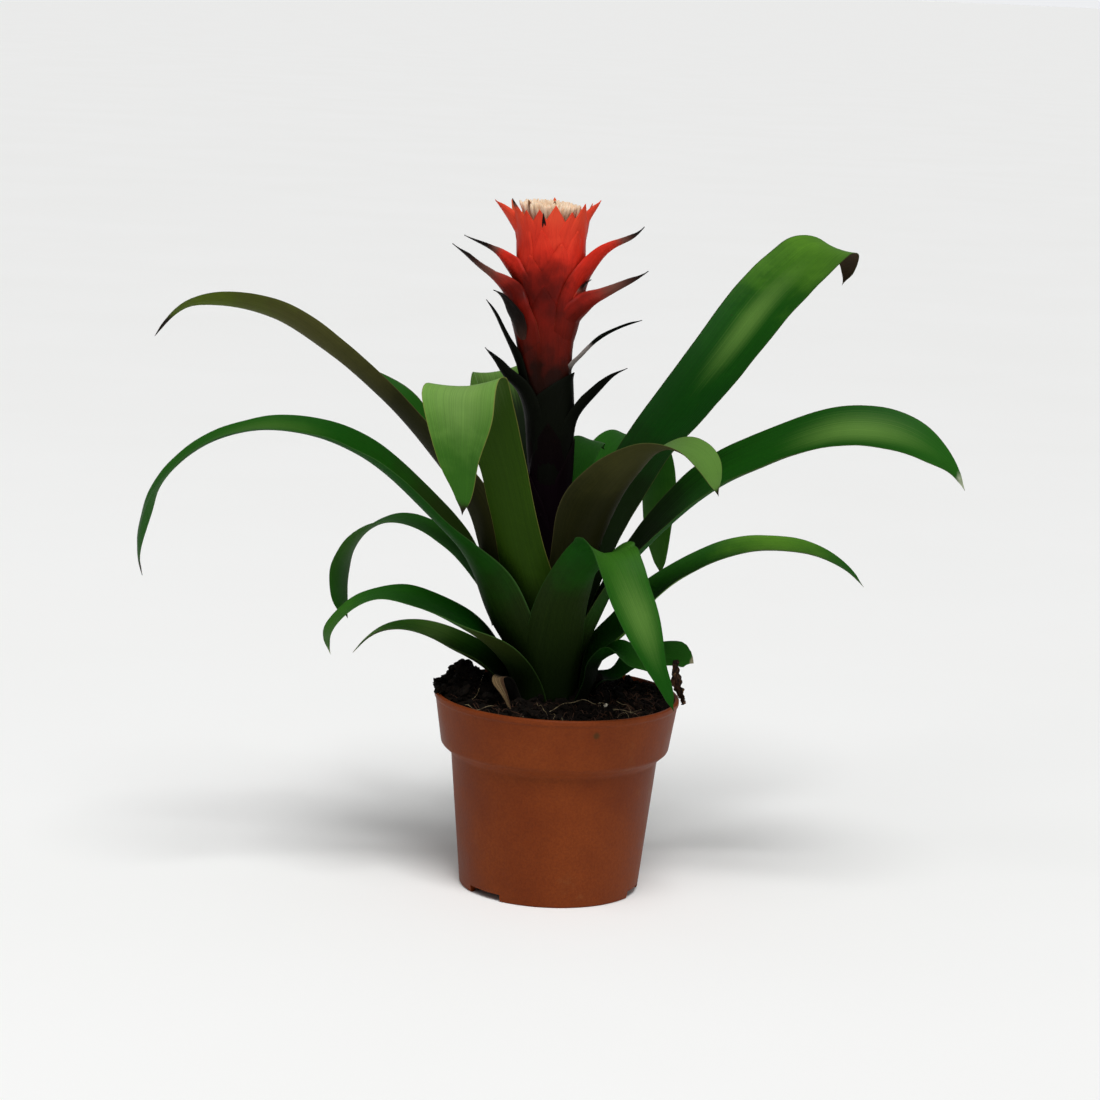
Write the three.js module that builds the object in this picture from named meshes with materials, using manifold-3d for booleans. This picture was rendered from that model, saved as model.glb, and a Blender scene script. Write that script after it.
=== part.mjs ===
// A guzmania in a round plastic nursery pot: the pot, the soil, strap leaves in nested sheaths,
// and one flower stem with dark bracts, a red bract head and cream florets.
// Millimetres, +Z up. The origin is the centre of the pot's flat underside and the front is -Y.
import * as THREE from "three";
import { mergeVertices } from "three/addons/utils/BufferGeometryUtils.js";
import Module from "manifold-3d";

const wasm = await Module();
wasm.setup();

// Driving dimensions of the pot.
const POT_HEIGHT = 96;
const RIM_RADIUS = 60;
const BAND_TOP_RADIUS = 58.8;
const BAND_FOOT_RADIUS = 55.6;
const BAND_FOOT_HEIGHT = 70.5;
const BODY_TOP_RADIUS = 50.5;
const BODY_TOP_HEIGHT = 66;
const BASE_RADIUS = 43.8;
const WALL = 1.2;
const LIP_DEPTH = 2.6;
const FLOOR = 1.6;
const RAISED_FLOOR = 4;
const PAD_RADIUS = 27;
const NOTCH_HEIGHT = 3.6;
const NOTCH_ANGLES = [225, 345, 105];
const NOTCH_HALF_ANGLE = 13.5;
const DRAIN_RADIUS = 37.5;
const DRAIN_LENGTH = 13;
const DRAIN_WIDTH = 3.6;
const POT_SIDES = 40;

// Driving dimensions of the soil.
const SOIL_CLEARANCE = 0.4;
const SOIL_EDGE_HEIGHT = 91.5;
const SOIL_RISE = 2.5;
const SOIL_RINGS = 5;
const HOLE_RADIUS = 23.3;
const HOLE_FLOOR = 61;

// Where the plant stands, and its short rooted crown.
const CROWN = new THREE.Vector3(-4, 0, 90);
const CROWN_RADIUS = 22.5;
const CROWN_DEPTH = 28;

// Leaf sheaths are nested in rings round the stem. A leaf of an outer ring leaves the nest first.
const FIRST_RING_RADIUS = 8.4;
const RING_PITCH = 2.05;
const SHEATH_HALF_ANGLE = 0.8;
const LEAF_THICKNESS = 1.1;
const EDGE_THICKNESS = 0.7;
const TIP_WIDTH = 1.4;
const ACROSS = 4;
const FOLD_FLATTENING = 8;
const LEAF_BEND_WEIGHT = 26;
const CURVE_SAMPLES = 240;

// The flower stem leans a little to the left as it rises. Profiles are [radius, height] points.
const STEM_LEAN = 0.04;
const NODE_GAP = 0.35;
const HEAD_FOOT = 154;
const HEAD_TOP = 230;
const STEM_PROFILE = [[6.2, -NODE_GAP], [6.2, 36], [9, 64], [10.2, 100], [10.6, HEAD_FOOT - NODE_GAP]];
const HEAD_PROFILE = [[10, HEAD_FOOT], [11.2, 178], [13.4, 198], [14.2, HEAD_TOP - 8], [12, HEAD_TOP]];
const STEM_SIDES = 12;
const BRACT_STEPS = 5;
const BRACT_ACROSS = 2;
const BRACT_BEND_WEIGHT = 10;
const BRACT_TIP_WIDTH = 1.2;
const BRACT_FREE_FROM = 0.4;
const KEEL_RADIUS = 4;
const RING_BRACTS = 8;
const FLORETS = 19;
const FLORET_BED = 234;
const FLORET_SPREAD = 8.6;
const FLORET_LEAN = 0.32;
const SPIRAL_STEP = 137.5;

const rad = THREE.MathUtils.degToRad;
const smooth = THREE.MathUtils.smoothstep;
const { lerp, clamp } = THREE.MathUtils;

// The smaller of two lengths, with the corner between them rounded.
function softMin(a, b) {
  const power = 6;
  return (a ** -power + b ** -power) ** (-1 / power);
}

// A closed mesh as a solid.
function toSolid(geometry) {
  const bare = new THREE.BufferGeometry();
  bare.setAttribute("position", geometry.getAttribute("position"));
  if (geometry.index) bare.setIndex(geometry.index);
  const merged = mergeVertices(bare, 1e-4);
  return new wasm.Manifold(
    new wasm.Mesh({
      numProp: 3,
      vertProperties: new Float32Array(merged.attributes.position.array),
      triVerts: new Uint32Array(merged.index.array),
    }),
  );
}

// A solid as a geometry that three.js can draw.
function toGeometry(solid) {
  const mesh = solid.getMesh();
  const geometry = new THREE.BufferGeometry();
  geometry.setAttribute("position", new THREE.BufferAttribute(mesh.vertProperties, 3));
  geometry.setIndex(new THREE.BufferAttribute(mesh.triVerts, 1));
  geometry.computeVertexNormals();
  return geometry;
}

// The largest connected body of a solid, so that a cut leaves no loose scrap.
function largestBody(solid) {
  return solid.decompose().reduce((a, b) => (a.volume() >= b.volume() ? a : b));
}

// A body of revolution about +Z from a profile of [radius, height] points.
function turned(profile, sides) {
  const points = profile.map(([r, z]) => new THREE.Vector2(r, z));
  const geometry = new THREE.LatheGeometry(points, sides);
  geometry.rotateX(Math.PI / 2);
  return geometry;
}

function potGeometry() {
  const inner = WALL;
  const profile = [
    [0, 0],
    [PAD_RADIUS, 0],
    [PAD_RADIUS + 1.5, RAISED_FLOOR],
    [BASE_RADIUS - 3.2, RAISED_FLOOR],
    [BASE_RADIUS - 2.6, 0],
    [BASE_RADIUS, 0],
    [BODY_TOP_RADIUS, BODY_TOP_HEIGHT],
    [BAND_FOOT_RADIUS, BAND_FOOT_HEIGHT],
    [BAND_TOP_RADIUS, POT_HEIGHT - LIP_DEPTH - 1],
    [RIM_RADIUS, POT_HEIGHT - LIP_DEPTH],
    [RIM_RADIUS, POT_HEIGHT - 0.6],
    [RIM_RADIUS - 0.6, POT_HEIGHT],
    [BAND_TOP_RADIUS - inner + 0.4, POT_HEIGHT],
    [BAND_TOP_RADIUS - inner, POT_HEIGHT - 0.6],
    [BAND_FOOT_RADIUS - inner, BAND_FOOT_HEIGHT + 0.5],
    [BODY_TOP_RADIUS - inner, BODY_TOP_HEIGHT + 0.5],
    [BASE_RADIUS - inner + 0.3, RAISED_FLOOR + FLOOR],
    [PAD_RADIUS + 1, RAISED_FLOOR + FLOOR],
    [PAD_RADIUS - 1.2, FLOOR],
    [0, FLOOR],
  ];
  let pot = toSolid(turned(profile, POT_SIDES));
  for (const angle of NOTCH_ANGLES) {
    pot = pot.subtract(notchCutter(angle)).subtract(drainCutter(angle));
  }
  return toGeometry(pot);
}

// A block that opens the foot ring between two of its three standing arcs.
function notchCutter(angle) {
  const halfWidth = BASE_RADIUS * Math.sin(rad(NOTCH_HALF_ANGLE));
  const reach = 12;
  const box = new THREE.BoxGeometry(reach, 2 * halfWidth, 2 * NOTCH_HEIGHT);
  box.translate(BASE_RADIUS, 0, 0);
  box.rotateZ(rad(angle));
  return toSolid(box);
}

function drainCutter(angle) {
  const box = new THREE.BoxGeometry(DRAIN_WIDTH, DRAIN_LENGTH, 6 * FLOOR);
  box.translate(DRAIN_RADIUS, 0, RAISED_FLOOR);
  box.rotateZ(rad(angle));
  return toSolid(box);
}

// How far the soil stands above its level at the pot's edge.
function soilRelief(x, y) {
  const r = Math.hypot(x, y);
  const mound = SOIL_RISE * (1 - smooth(r, 20, 56));
  const heap = 16 * Math.exp(-(((x + 43) / 11.5) ** 2) - ((y - 8) / 21) ** 2);
  const clods = 0.9 * Math.sin(0.31 * x + 1) * Math.sin(0.27 * y + 2);
  const crumbs = 0.6 * Math.sin(0.55 * x - 0.4 * y);
  return mound + heap + clods + crumbs;
}

function soilGeometry() {
  const wallRadius = (z) => {
    const share = (z - BAND_FOOT_HEIGHT) / (POT_HEIGHT - LIP_DEPTH - 1 - BAND_FOOT_HEIGHT);
    return lerp(BAND_FOOT_RADIUS, BAND_TOP_RADIUS, share) - WALL - 2 * SOIL_CLEARANCE;
  };
  const edgeRadius = wallRadius(SOIL_EDGE_HEIGHT);
  const bottom = FLOOR + SOIL_CLEARANCE;
  const raised = RAISED_FLOOR + FLOOR + SOIL_CLEARANCE;
  const under = [
    [0, bottom],
    [PAD_RADIUS - 2, bottom],
    [PAD_RADIUS + 0.4, raised],
    [BASE_RADIUS - WALL - 0.5, raised],
    [BODY_TOP_RADIUS - WALL - 2 * SOIL_CLEARANCE, BODY_TOP_HEIGHT + 1],
    [wallRadius(BAND_FOOT_HEIGHT), BAND_FOOT_HEIGHT + 1.2],
  ];
  const top = [];
  for (let i = 0; i <= SOIL_RINGS; i++) {
    top.push([lerp(edgeRadius, HOLE_RADIUS, i / SOIL_RINGS), SOIL_EDGE_HEIGHT]);
  }
  const hole = [
    [HOLE_RADIUS, HOLE_FLOOR],
    [0, HOLE_FLOOR],
  ];
  const geometry = turned([...under, ...top, ...hole], POT_SIDES);
  const position = geometry.getAttribute("position");
  for (let i = 0; i < position.count; i++) {
    const [x, y, z] = [position.getX(i), position.getY(i), position.getZ(i)];
    const onTop = z > SOIL_EDGE_HEIGHT - 0.01;
    const onHoleFloor = Math.abs(z - HOLE_FLOOR) < 0.01;
    if (!onTop && !onHoleFloor) continue;
    const r = Math.hypot(x, y);
    const shifted = x + CROWN.x * (1 - smooth(r, HOLE_RADIUS, edgeRadius));
    position.setX(i, shifted);
    const atWall = smooth(r, edgeRadius - 0.5, edgeRadius);
    if (onTop) position.setZ(i, SOIL_EDGE_HEIGHT + soilRelief(shifted, y) * (1 - 0.55 * atWall));
  }
  return toGeometry(toSolid(geometry));
}

// Stations along a curve, closer together where it bends, each with its share of the length.
function stationsOf(curve, count, bendWeight) {
  const samples = CURVE_SAMPLES;
  const window = 4;
  const points = [];
  for (let i = 0; i <= samples; i++) {
    const u = i / samples;
    points.push({ u, at: curve.getPointAt(u), along: curve.getTangentAt(u) });
  }
  const measure = [0];
  for (let i = 1; i <= samples; i++) {
    const step = points[i].at.distanceTo(points[i - 1].at);
    const turn = points[i].along.angleTo(points[i - 1].along);
    measure.push(measure[i - 1] + step + bendWeight * turn);
  }
  const total = measure[samples];
  const stations = [];
  for (let k = 0; k <= count; k++) {
    const wanted = (total * k) / count;
    const i = measure.findIndex((m) => m >= wanted - 1e-9);
    const here = points[i];
    const before = points[Math.max(0, i - window)].along;
    const after = points[Math.min(samples, i + window)].along;
    const span = (2 * window * curve.getLength()) / samples;
    stations.push({ ...here, bend: before.angleTo(after) / span });
  }
  return stations;
}

// Side directions carried along the stations without spinning about the curve.
function carriedSides(stations, firstSide) {
  const sides = [firstSide.clone()];
  for (let i = 1; i < stations.length; i++) {
    const turn = new THREE.Quaternion().setFromUnitVectors(stations[i - 1].along, stations[i].along);
    sides.push(sides[i - 1].clone().applyQuaternion(turn).normalize());
  }
  return sides;
}

// A thin closed blade: a channelled strip whose section at each station is an arc.
// widthAt, radiusAt, thickAt and twistAt take a station and give the arc's width and radius,
// the thickness at the middle, and the turn about the curve in degrees.
function bladeGeometry(stations, sides, across, { widthAt, radiusAt, thickAt, twistAt }) {
  const ring = 2 * (across + 1);
  const vertices = [];
  stations.forEach((station, k) => {
    const side = sides[k].clone().applyAxisAngle(station.along, rad(twistAt(station)));
    const inward = station.along.clone().cross(side).normalize();
    const radius = radiusAt(station);
    const half = widthAt(station) / 2 / radius;
    const place = (v, offset) => {
      const angle = v * half;
      const normal = inward.clone().multiplyScalar(Math.cos(angle)).addScaledVector(side, -Math.sin(angle));
      return station.at
        .clone()
        .addScaledVector(side, radius * Math.sin(angle))
        .addScaledVector(inward, radius * (1 - Math.cos(angle)))
        .addScaledVector(normal, offset);
    };
    const thick = thickAt(station);
    const halfThick = (v) => lerp(thick, Math.min(thick, EDGE_THICKNESS), v * v) / 2;
    for (let j = 0; j <= across; j++) {
      const v = (2 * j) / across - 1;
      vertices.push(place(v, halfThick(v)));
    }
    for (let j = across; j >= 0; j--) {
      const v = (2 * j) / across - 1;
      vertices.push(place(v, -halfThick(v)));
    }
  });
  const index = [];
  const last = (stations.length - 1) * ring;
  for (let k = 0; k < stations.length - 1; k++) {
    for (let j = 0; j < ring; j++) {
      const a = k * ring + j;
      const b = k * ring + ((j + 1) % ring);
      // The lower face is split like the upper one, so that the thin faces stay parallel.
      if (j <= across) index.push(a, b + ring, b, a, a + ring, b + ring);
      else index.push(a, a + ring, b, b, a + ring, b + ring);
    }
  }
  for (let j = 0; j < across; j++) {
    const [a, b, c, d] = [j, j + 1, ring - 2 - j, ring - 1 - j];
    index.push(a, b, c, a, c, d);
    index.push(last + a, last + c, last + b, last + a, last + d, last + c);
  }
  const geometry = new THREE.BufferGeometry().setFromPoints(vertices);
  geometry.setIndex(index);
  geometry.computeVertexNormals();
  return geometry;
}

// Each leaf: its name, the direction its root faces in degrees from +X, its ring in the nest, how
// deep its channel is as a share of its width, the number of stations, and its spine. A spine point
// is [right, back, up, width, roll] from the middle of the crown's top: roll turns the blade about
// its own line, in degrees, and lifts the margin that lies counterclockwise seen from above.
const LEAVES = [
  {
    name: "leaf_left_high", turn: 180, ring: 0, cup: 0.24, steps: 18,
    spine: [[-10, 0, 20, 16, 0], [-20, 1, 52, 22, 4], [-38, 2, 89, 25, 10], [-68, 2, 127, 26, 20],
      [-98, 2, 156, 26, 28], [-137, 3, 183, 23, 30], [-170, 4, 189, 15, 24], [-185, 4, 185, 8, 10],
      [-197, 4, 171, TIP_WIDTH, 0]],
  },
  {
    name: "leaf_left_arch", turn: 195, ring: 2, cup: 0.2, steps: 22,
    spine: [[-14, -4, 20, 24, 0], [-25, -9, 46, 27, -4], [-40, -16, 72, 27, -10], [-61, -24, 96, 27, -15],
      [-92, -35, 124, 26, -15], [-118, -44, 135, 23, -9], [-144, -51, 136, 20, -1], [-168, -56, 127, 18, 3],
      [-187, -58, 107, 15, 3], [-194, -58, 81, 10, 2], [-192, -58, 66, TIP_WIDTH, 0]],
  },
  {
    name: "leaf_back_left_curl", turn: 152, ring: 3, cup: 0.16, steps: 18,
    spine: [[-15, 8, 20, 18, 0], [-28, 15, 46, 20, 0], [-46, 23, 67, 20, 0], [-65, 30, 79, 20, 0],
      [-83, 38, 80, 22, 0], [-96, 43, 72, 24, 0], [-105, 50, 56, 23, 0], [-106, 53, 38, 16, 0],
      [-103, 54, 27, TIP_WIDTH, 0]],
  },
  {
    name: "leaf_left_low", turn: 210, ring: 4, cup: 0.18, steps: 16,
    spine: [[-17, -9, 14, 20, -4], [-27, -14, 28, 22, -10], [-46, -22, 44, 23, -20], [-66, -30, 55, 22, -20],
      [-84, -36, 57, 16, -10], [-98, -40, 50, 12, -10], [-106, -42, 39, 10, -18],
      [-104, -42, 29, TIP_WIDTH, -24]],
  },
  {
    name: "leaf_left_lowest", turn: 172, ring: 6, cup: 0.18, steps: 12,
    spine: [[-22, 3, 9, 14, -6], [-32, 4, 18, 15, -10], [-46, 5, 27, 15, -16], [-60, 6, 34, 14, -12],
      [-74, 7, 35, 12, -5], [-88, 9, 29, 9, 0], [-97, 10, 19, TIP_WIDTH, 0]],
  },
  {
    name: "leaf_front_left_folded", turn: 250, ring: 1, cup: 0.17, steps: 24,
    spine: [[-5, -12, 24, 21, 0], [-9, -18, 48, 25, 0], [-15, -26, 72, 25, 0], [-21, -36, 97, 24, 0],
      [-29, -50, 128, 26, 2], [-38, -66, 154, 32, 5], [-43, -76, 164, 36, 6], [-46, -83, 161, 36, 6],
      [-46, -86, 149, 32, 6], [-45, -86, 132, 23, 6], [-43, -86, 118, 12, 5], [-43, -85, 106, TIP_WIDTH, 0]],
  },
  {
    name: "leaf_back_high", turn: 104, ring: 2, cup: 0.16, steps: 18,
    spine: [[-3, 13, 20, 20, 0], [-7, 22, 52, 24, 0], [-17, 46, 98, 28, -4], [-26, 71, 133, 28, -8],
      [-31, 88, 148, 28, -10], [-33, 98, 150, 28, -10], [-36, 108, 142, 25, -8], [-40, 114, 122, 16, 0],
      [-42, 115, 102, TIP_WIDTH, 0]],
  },
  {
    name: "leaf_front_right_bent", turn: 308, ring: 0, cup: 0.2, steps: 20,
    spine: [[6, -8, 20, 16, 0], [8, -13, 46, 24, 0], [12, -20, 76, 30, 0], [18, -29, 97, 33, 0],
      [28, -41, 117, 35, 0], [40, -52, 132, 35, 5], [54, -61, 138, 33, 14], [64, -66, 135, 27, 20],
      [70, -69, 128, 18, 20], [74, -70, 118, TIP_WIDTH, 10]],
  },
  {
    name: "leaf_right_high", turn: 36, ring: 1, cup: 0.13, steps: 22,
    spine: [[9, 7, 20, 22, 0], [14, 12, 53, 27, 2], [25, 22, 86, 32, 6], [42, 36, 118, 35, 10],
      [61, 50, 143, 37, 15], [81, 62, 169, 39, 17], [100, 75, 194, 41, 17], [118, 86, 212, 42, 15],
      [130, 94, 220.5, 42, 9], [138, 99, 219, 37, 2], [141, 101, 212, 21, -4], [139, 101, 202, TIP_WIDTH, -5]],
  },
  {
    name: "leaf_right_long", turn: 350, ring: 2, cup: 0.17, steps: 20,
    spine: [[14, -2, 20, 20, 2], [23, -4, 46, 27, 5], [33, -7, 70, 28, 9], [48, -12, 92, 28, 16],
      [72, -21, 116, 29, 24], [95, -29, 130, 29, 27], [131, -38, 145, 29, 28], [158, -42, 145, 28, 27],
      [175, -44, 138, 22, 25], [184, -45, 131, 14, 22], [190, -45, 122, TIP_WIDTH, 15]],
  },
  {
    name: "leaf_right_low", turn: 8, ring: 4, cup: 0.18, steps: 15,
    spine: [[17, 3, 15, 16, 6], [22, 5, 31, 18, 14], [34, 9, 44, 19, 20], [66, 17, 67, 19, 20],
      [95, 23, 78, 19, 20], [125, 27, 77, 17, 20], [142, 28, 70, 11, 18], [153, 29, 60, TIP_WIDTH, 10]],
  },
  {
    name: "leaf_back_right_hanging", turn: 60, ring: 3, cup: 0.16, steps: 20,
    spine: [[8, 14, 20, 20, 0], [13, 30, 58, 26, 0], [20, 54, 102, 27, 0], [29, 74, 119, 26, 0],
      [39, 88, 121, 26, 0], [46, 96, 110, 25, 0], [50, 100, 92, 23, 0], [51, 100, 75, 18, 0],
      [53, 100, 60, 11, 0], [55, 99, 48, TIP_WIDTH, 0]],
  },
  {
    name: "leaf_back_short", turn: 76, ring: 0, cup: 0.2, steps: 14,
    spine: [[2, 9, 25, 16, 0], [3, 12, 60, 20, 0], [4, 16, 95, 22, 0], [7, 24, 114, 21, 0],
      [12, 35, 123, 18, 0], [17, 46, 124, 12, 0], [22, 53, 119, TIP_WIDTH, 0]],
  },
  {
    name: "leaf_front_folded", turn: 282, ring: 3, cup: 0.2, steps: 24,
    spine: [[3, -16, 14, 24, 0], [4, -24, 37, 23, 0], [6, -35, 56, 24, 0], [11, -45, 71, 26, 0],
      [18, -54, 82, 29, -4], [22, -61, 87, 29, -4], [26, -67, 84, 27, 8], [31, -71, 74, 24, 24],
      [42, -77, 51, 20, 30], [49, -79, 36, 16, 30], [54, -80, 26, 11, 28], [58, -80, 18, TIP_WIDTH, 20]],
  },
  {
    name: "leaf_right_curl", turn: 15, ring: 6, cup: 0.14, steps: 14,
    spine: [[22, 6, 10, 13, 4], [26, 7, 18, 14, 12], [36, 9, 24, 14, 32], [49, 12, 25, 15, 36],
      [59, 14, 25, 15, 38], [65, 15, 23.5, 13, 40], [68, 16, 20.5, 8, 40]],
  },
  {
    name: "leaf_right_under", turn: 335, ring: 5, cup: 0.16, steps: 12,
    spine: [[19, -9, 9, 11, 4], [25, -12, 17, 12, 8], [34, -17, 24, 14, 18], [43, -22, 27, 13, 20],
      [51, -27, 26, 9, 15], [57, -31, 19, TIP_WIDTH, 0]],
  },
  {
    name: "leaf_back_low", turn: 99, ring: 4, cup: 0.16, steps: 16,
    spine: [[-3, 18, 14, 21, 0], [-4, 34, 42, 24, 0], [-5, 56, 59, 24, 0], [-6, 78, 65, 22, 0],
      [-6, 98, 57, 18, 0], [-6, 111, 40, 11, 0], [-5, 117, 22, TIP_WIDTH, 0]],
  },
  {
    name: "leaf_back_left_low", turn: 120, ring: 5, cup: 0.16, steps: 14,
    spine: [[-11, 19, 11, 19, 0], [-15, 30, 26, 20, 0], [-20, 44, 38, 19, 0], [-24, 60, 40, 17, 0],
      [-28, 75, 33, 12, 0], [-31, 85, 20, TIP_WIDTH, 0]],
  },
  {
    name: "leaf_back_lowest", turn: 75, ring: 6, cup: 0.16, steps: 12,
    spine: [[6, 22, 10, 15, 0], [8, 34, 21, 16, 0], [10, 50, 27, 15, 0], [11, 67, 23, 11, 0],
      [12, 79, 13, TIP_WIDTH, 0]],
  },
  {
    name: "leaf_dry_scale", turn: 228, ring: 6, cup: 0.14, steps: 9,
    spine: [[-17, -18, 9, 8, 0], [-22, -23, 14, 8, 0], [-25, -28, 12, 7, 0], [-22, -34, 7, 5, 0],
      [-15, -42, 3, TIP_WIDTH, 0]],
  },
];

function leafGeometry(leaf) {
  const outward = new THREE.Vector3(Math.cos(rad(leaf.turn)), Math.sin(rad(leaf.turn)), 0);
  const ringRadius = FIRST_RING_RADIUS + RING_PITCH * leaf.ring;
  const root = [ringRadius * outward.x, ringRadius * outward.y, 0, 1.1 * leaf.spine[0][3], 0];
  const table = [root, ...leaf.spine];
  const places = table.map(([x, y, z]) => new THREE.Vector3(x, y, z));
  const curve = new THREE.CatmullRomCurve3(places, false, "centripetal");
  const forms = new THREE.CatmullRomCurve3(table.map((p) => new THREE.Vector3(p[3], p[4], 0)));
  const stations = stationsOf(curve, leaf.steps, LEAF_BEND_WEIGHT);
  stations[0].along.set(0, 0, 1);
  for (const station of stations) {
    const form = forms.getPoint(curve.getUtoTmapping(station.u));
    station.width = form.x;
    station.roll = form.y;
  }
  const firstSide = new THREE.Vector3(0, 0, 1).cross(outward);
  const sides = carriedSides(stations, firstSide);
  const reach = (s) => Math.max(ringRadius, Math.hypot(s.at.x, s.at.y));
  const widest = Math.max(...leaf.spine.map((p) => p[3]));
  return bladeGeometry(stations, sides, ACROSS, {
    widthAt: (s) => Math.max(TIP_WIDTH, softMin(s.width, 2 * SHEATH_HALF_ANGLE * reach(s))),
    radiusAt: (s) => {
      const depth = (leaf.cup * lerp(1, 0.7, s.u)) / (1 + (FOLD_FLATTENING * s.bend) ** 2);
      return 1 / lerp(1 / reach(s), (8 * depth) / widest, smooth(s.u, 0.03, 0.3));
    },
    thickAt: (s) => lerp(LEAF_THICKNESS, EDGE_THICKNESS, s.u),
    twistAt: (s) => s.roll,
  });
}

// The stem's middle at a height above the crown's top.
function stemCentre(z) {
  return new THREE.Vector3(-STEM_LEAN * z, 0, z);
}

// The radius of the stem, or of the head that it carries, at a height.
function coreRadius(z) {
  const profile = z < HEAD_FOOT ? STEM_PROFILE : HEAD_PROFILE;
  const next = profile.findIndex(([, height]) => height >= z);
  if (next < 1) return profile[next < 0 ? profile.length - 1 : 0][0];
  const [[r0, z0], [r1, z1]] = [profile[next - 1], profile[next]];
  return lerp(r0, r1, (z - z0) / (z1 - z0));
}

// A round column along the leaning stem, from [radius, height] points.
function column(profile, sides) {
  const geometry = turned(profile, sides);
  const position = geometry.getAttribute("position");
  for (let i = 0; i < position.count; i++) {
    position.setX(i, position.getX(i) + stemCentre(position.getZ(i)).x);
  }
  return toSolid(geometry);
}

// Bracts: the direction each faces, the heights of its foot and tip, how far out its tip is, its
// width, and how far its blade stands off the core that it clasps.
const STEM_BRACTS = [
  { turn: 250, foot: 40, tip: 92, reach: 11, width: 14, lift: 0.3 },
  { turn: 60, foot: 50, tip: 104, reach: 15, width: 14, lift: 0.3 },
  { turn: 205, foot: 62, tip: 118, reach: 13, width: 16, lift: 0.3 },
  { turn: 325, foot: 74, tip: 134, reach: 15, width: 17, lift: 0.4 },
  { turn: 110, foot: 86, tip: 146, reach: 24, width: 16, lift: 0.3 },
  { turn: 268, foot: 94, tip: 150, reach: 13, width: 18, lift: 0.4 },
  { turn: 188, foot: 110, tip: 174, reach: 33, width: 16, lift: 0.3 },
  { turn: 4, foot: 106, tip: 167, reach: 36, width: 15, lift: 0.3 },
  { turn: 75, foot: 122, tip: 178, reach: 27, width: 16, lift: 0.3 },
  { turn: 296, foot: 118, tip: 160, reach: 14, width: 17, lift: 0.4 },
  { turn: 176, foot: 136, tip: 196, reach: 32, width: 12, lift: 0.6 },
  { turn: 2, foot: 144, tip: 190, reach: 44, width: 11, lift: 0.4 },
  { turn: 208, foot: 146, tip: 201, reach: 31, width: 15, lift: 2.2 },
];
const RED_BRACTS = [
  { turn: 258, foot: 156, tip: 206, reach: 17, width: 17, lift: 0.3 },
  { turn: 330, foot: 158, tip: 203, reach: 17, width: 16, lift: 0.3 },
  { turn: 100, foot: 162, tip: 208, reach: 32, width: 17, lift: 0.3 },
  { turn: 354, foot: 166, tip: 214, reach: 46, width: 16, lift: 0.4 },
  { turn: 226, foot: 170, tip: 218, reach: 19, width: 17, lift: 0.4 },
  { turn: 294, foot: 172, tip: 220, reach: 18, width: 18, lift: 0.4 },
  { turn: 186, foot: 175, tip: 223, reach: 46, width: 16, lift: 0.4 },
  { turn: 60, foot: 178, tip: 226, reach: 36, width: 17, lift: 0.3 },
  { turn: 156, foot: 183, tip: 228, reach: 42, width: 16, lift: 0.4 },
  { turn: 20, foot: 186, tip: 235, reach: 46, width: 16, lift: 0.4 },
  { turn: 260, foot: 188, tip: 236, reach: 20, width: 18, lift: 0.5 },
  { turn: 112, foot: 190, tip: 236, reach: 30, width: 17, lift: 0.4 },
  { turn: 314, foot: 192, tip: 234, reach: 21, width: 16, lift: 0.4 },
];

// The uppermost bracts stand in a flaring ring round the florets.
function ringBract(i) {
  const flare = i % 2;
  const turn = 184 + (360 / RING_BRACTS) * i;
  return { turn, foot: 208, tip: 244 - 2 * flare, reach: 25 - 6 * flare, width: 14, lift: 0.6 };
}

// extra swells the bract all round.
function bractSolid(bract, extra) {
  const outward = new THREE.Vector3(Math.cos(rad(bract.turn)), Math.sin(rad(bract.turn)), 0);
  const at = (share, stray, offset) => {
    const z = lerp(bract.foot, bract.tip, share);
    const clasping = coreRadius(Math.min(z, HEAD_TOP - 8)) + offset;
    return stemCentre(z).addScaledVector(outward, lerp(clasping, bract.reach, stray));
  };
  const spine = [
    at(0, 0, -1.8),
    at(0.2, 0, bract.lift),
    at(0.42, 0, bract.lift),
    at(0.7, 0.3, bract.lift),
    at(1, 1, 0),
  ];
  const curve = new THREE.CatmullRomCurve3(spine, false, "centripetal");
  const stations = stationsOf(curve, BRACT_STEPS, BRACT_BEND_WEIGHT);
  const sides = carriedSides(stations, new THREE.Vector3(0, 0, 1).cross(outward));
  const taper = (s) => clamp((s.u - BRACT_FREE_FROM) / (1 - BRACT_FREE_FROM), 0, 1);
  const clasp = coreRadius(bract.foot) + bract.lift;
  const geometry = bladeGeometry(stations, sides, BRACT_ACROSS, {
    widthAt: (s) => Math.max(BRACT_TIP_WIDTH, bract.width * (1 - taper(s)) ** 0.8) + extra,
    radiusAt: (s) => lerp(clasp, KEEL_RADIUS, smooth(taper(s), 0, 0.5)),
    thickAt: (s) => lerp(1.3, 0.9, s.u) + extra,
    twistAt: () => 0,
  });
  return toSolid(geometry);
}

// One floret: a slim bud with a swollen tip, leaning out from the middle of the head.
function floretSolid(i) {
  const turn = rad(SPIRAL_STEP * i);
  const spread = Math.sqrt((i + 0.5) / FLORETS);
  const bud = turned([[0, -3], [1.2, -3], [1.3, 4], [2, 9], [1.2, 12], [0, 12]], 5);
  bud.rotateY(FLORET_LEAN * spread);
  bud.rotateZ(turn);
  const foot = stemCentre(FLORET_BED + 2 - 2 * spread);
  const out = FLORET_SPREAD * spread;
  bud.translate(foot.x + out * Math.cos(turn), out * Math.sin(turn), foot.z);
  return toSolid(bud);
}

function joined(solids) {
  return solids.reduce((a, b) => a.add(b));
}

const group = new THREE.Group();
const plant = new THREE.Group();
plant.position.copy(CROWN);
group.add(plant);

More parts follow.
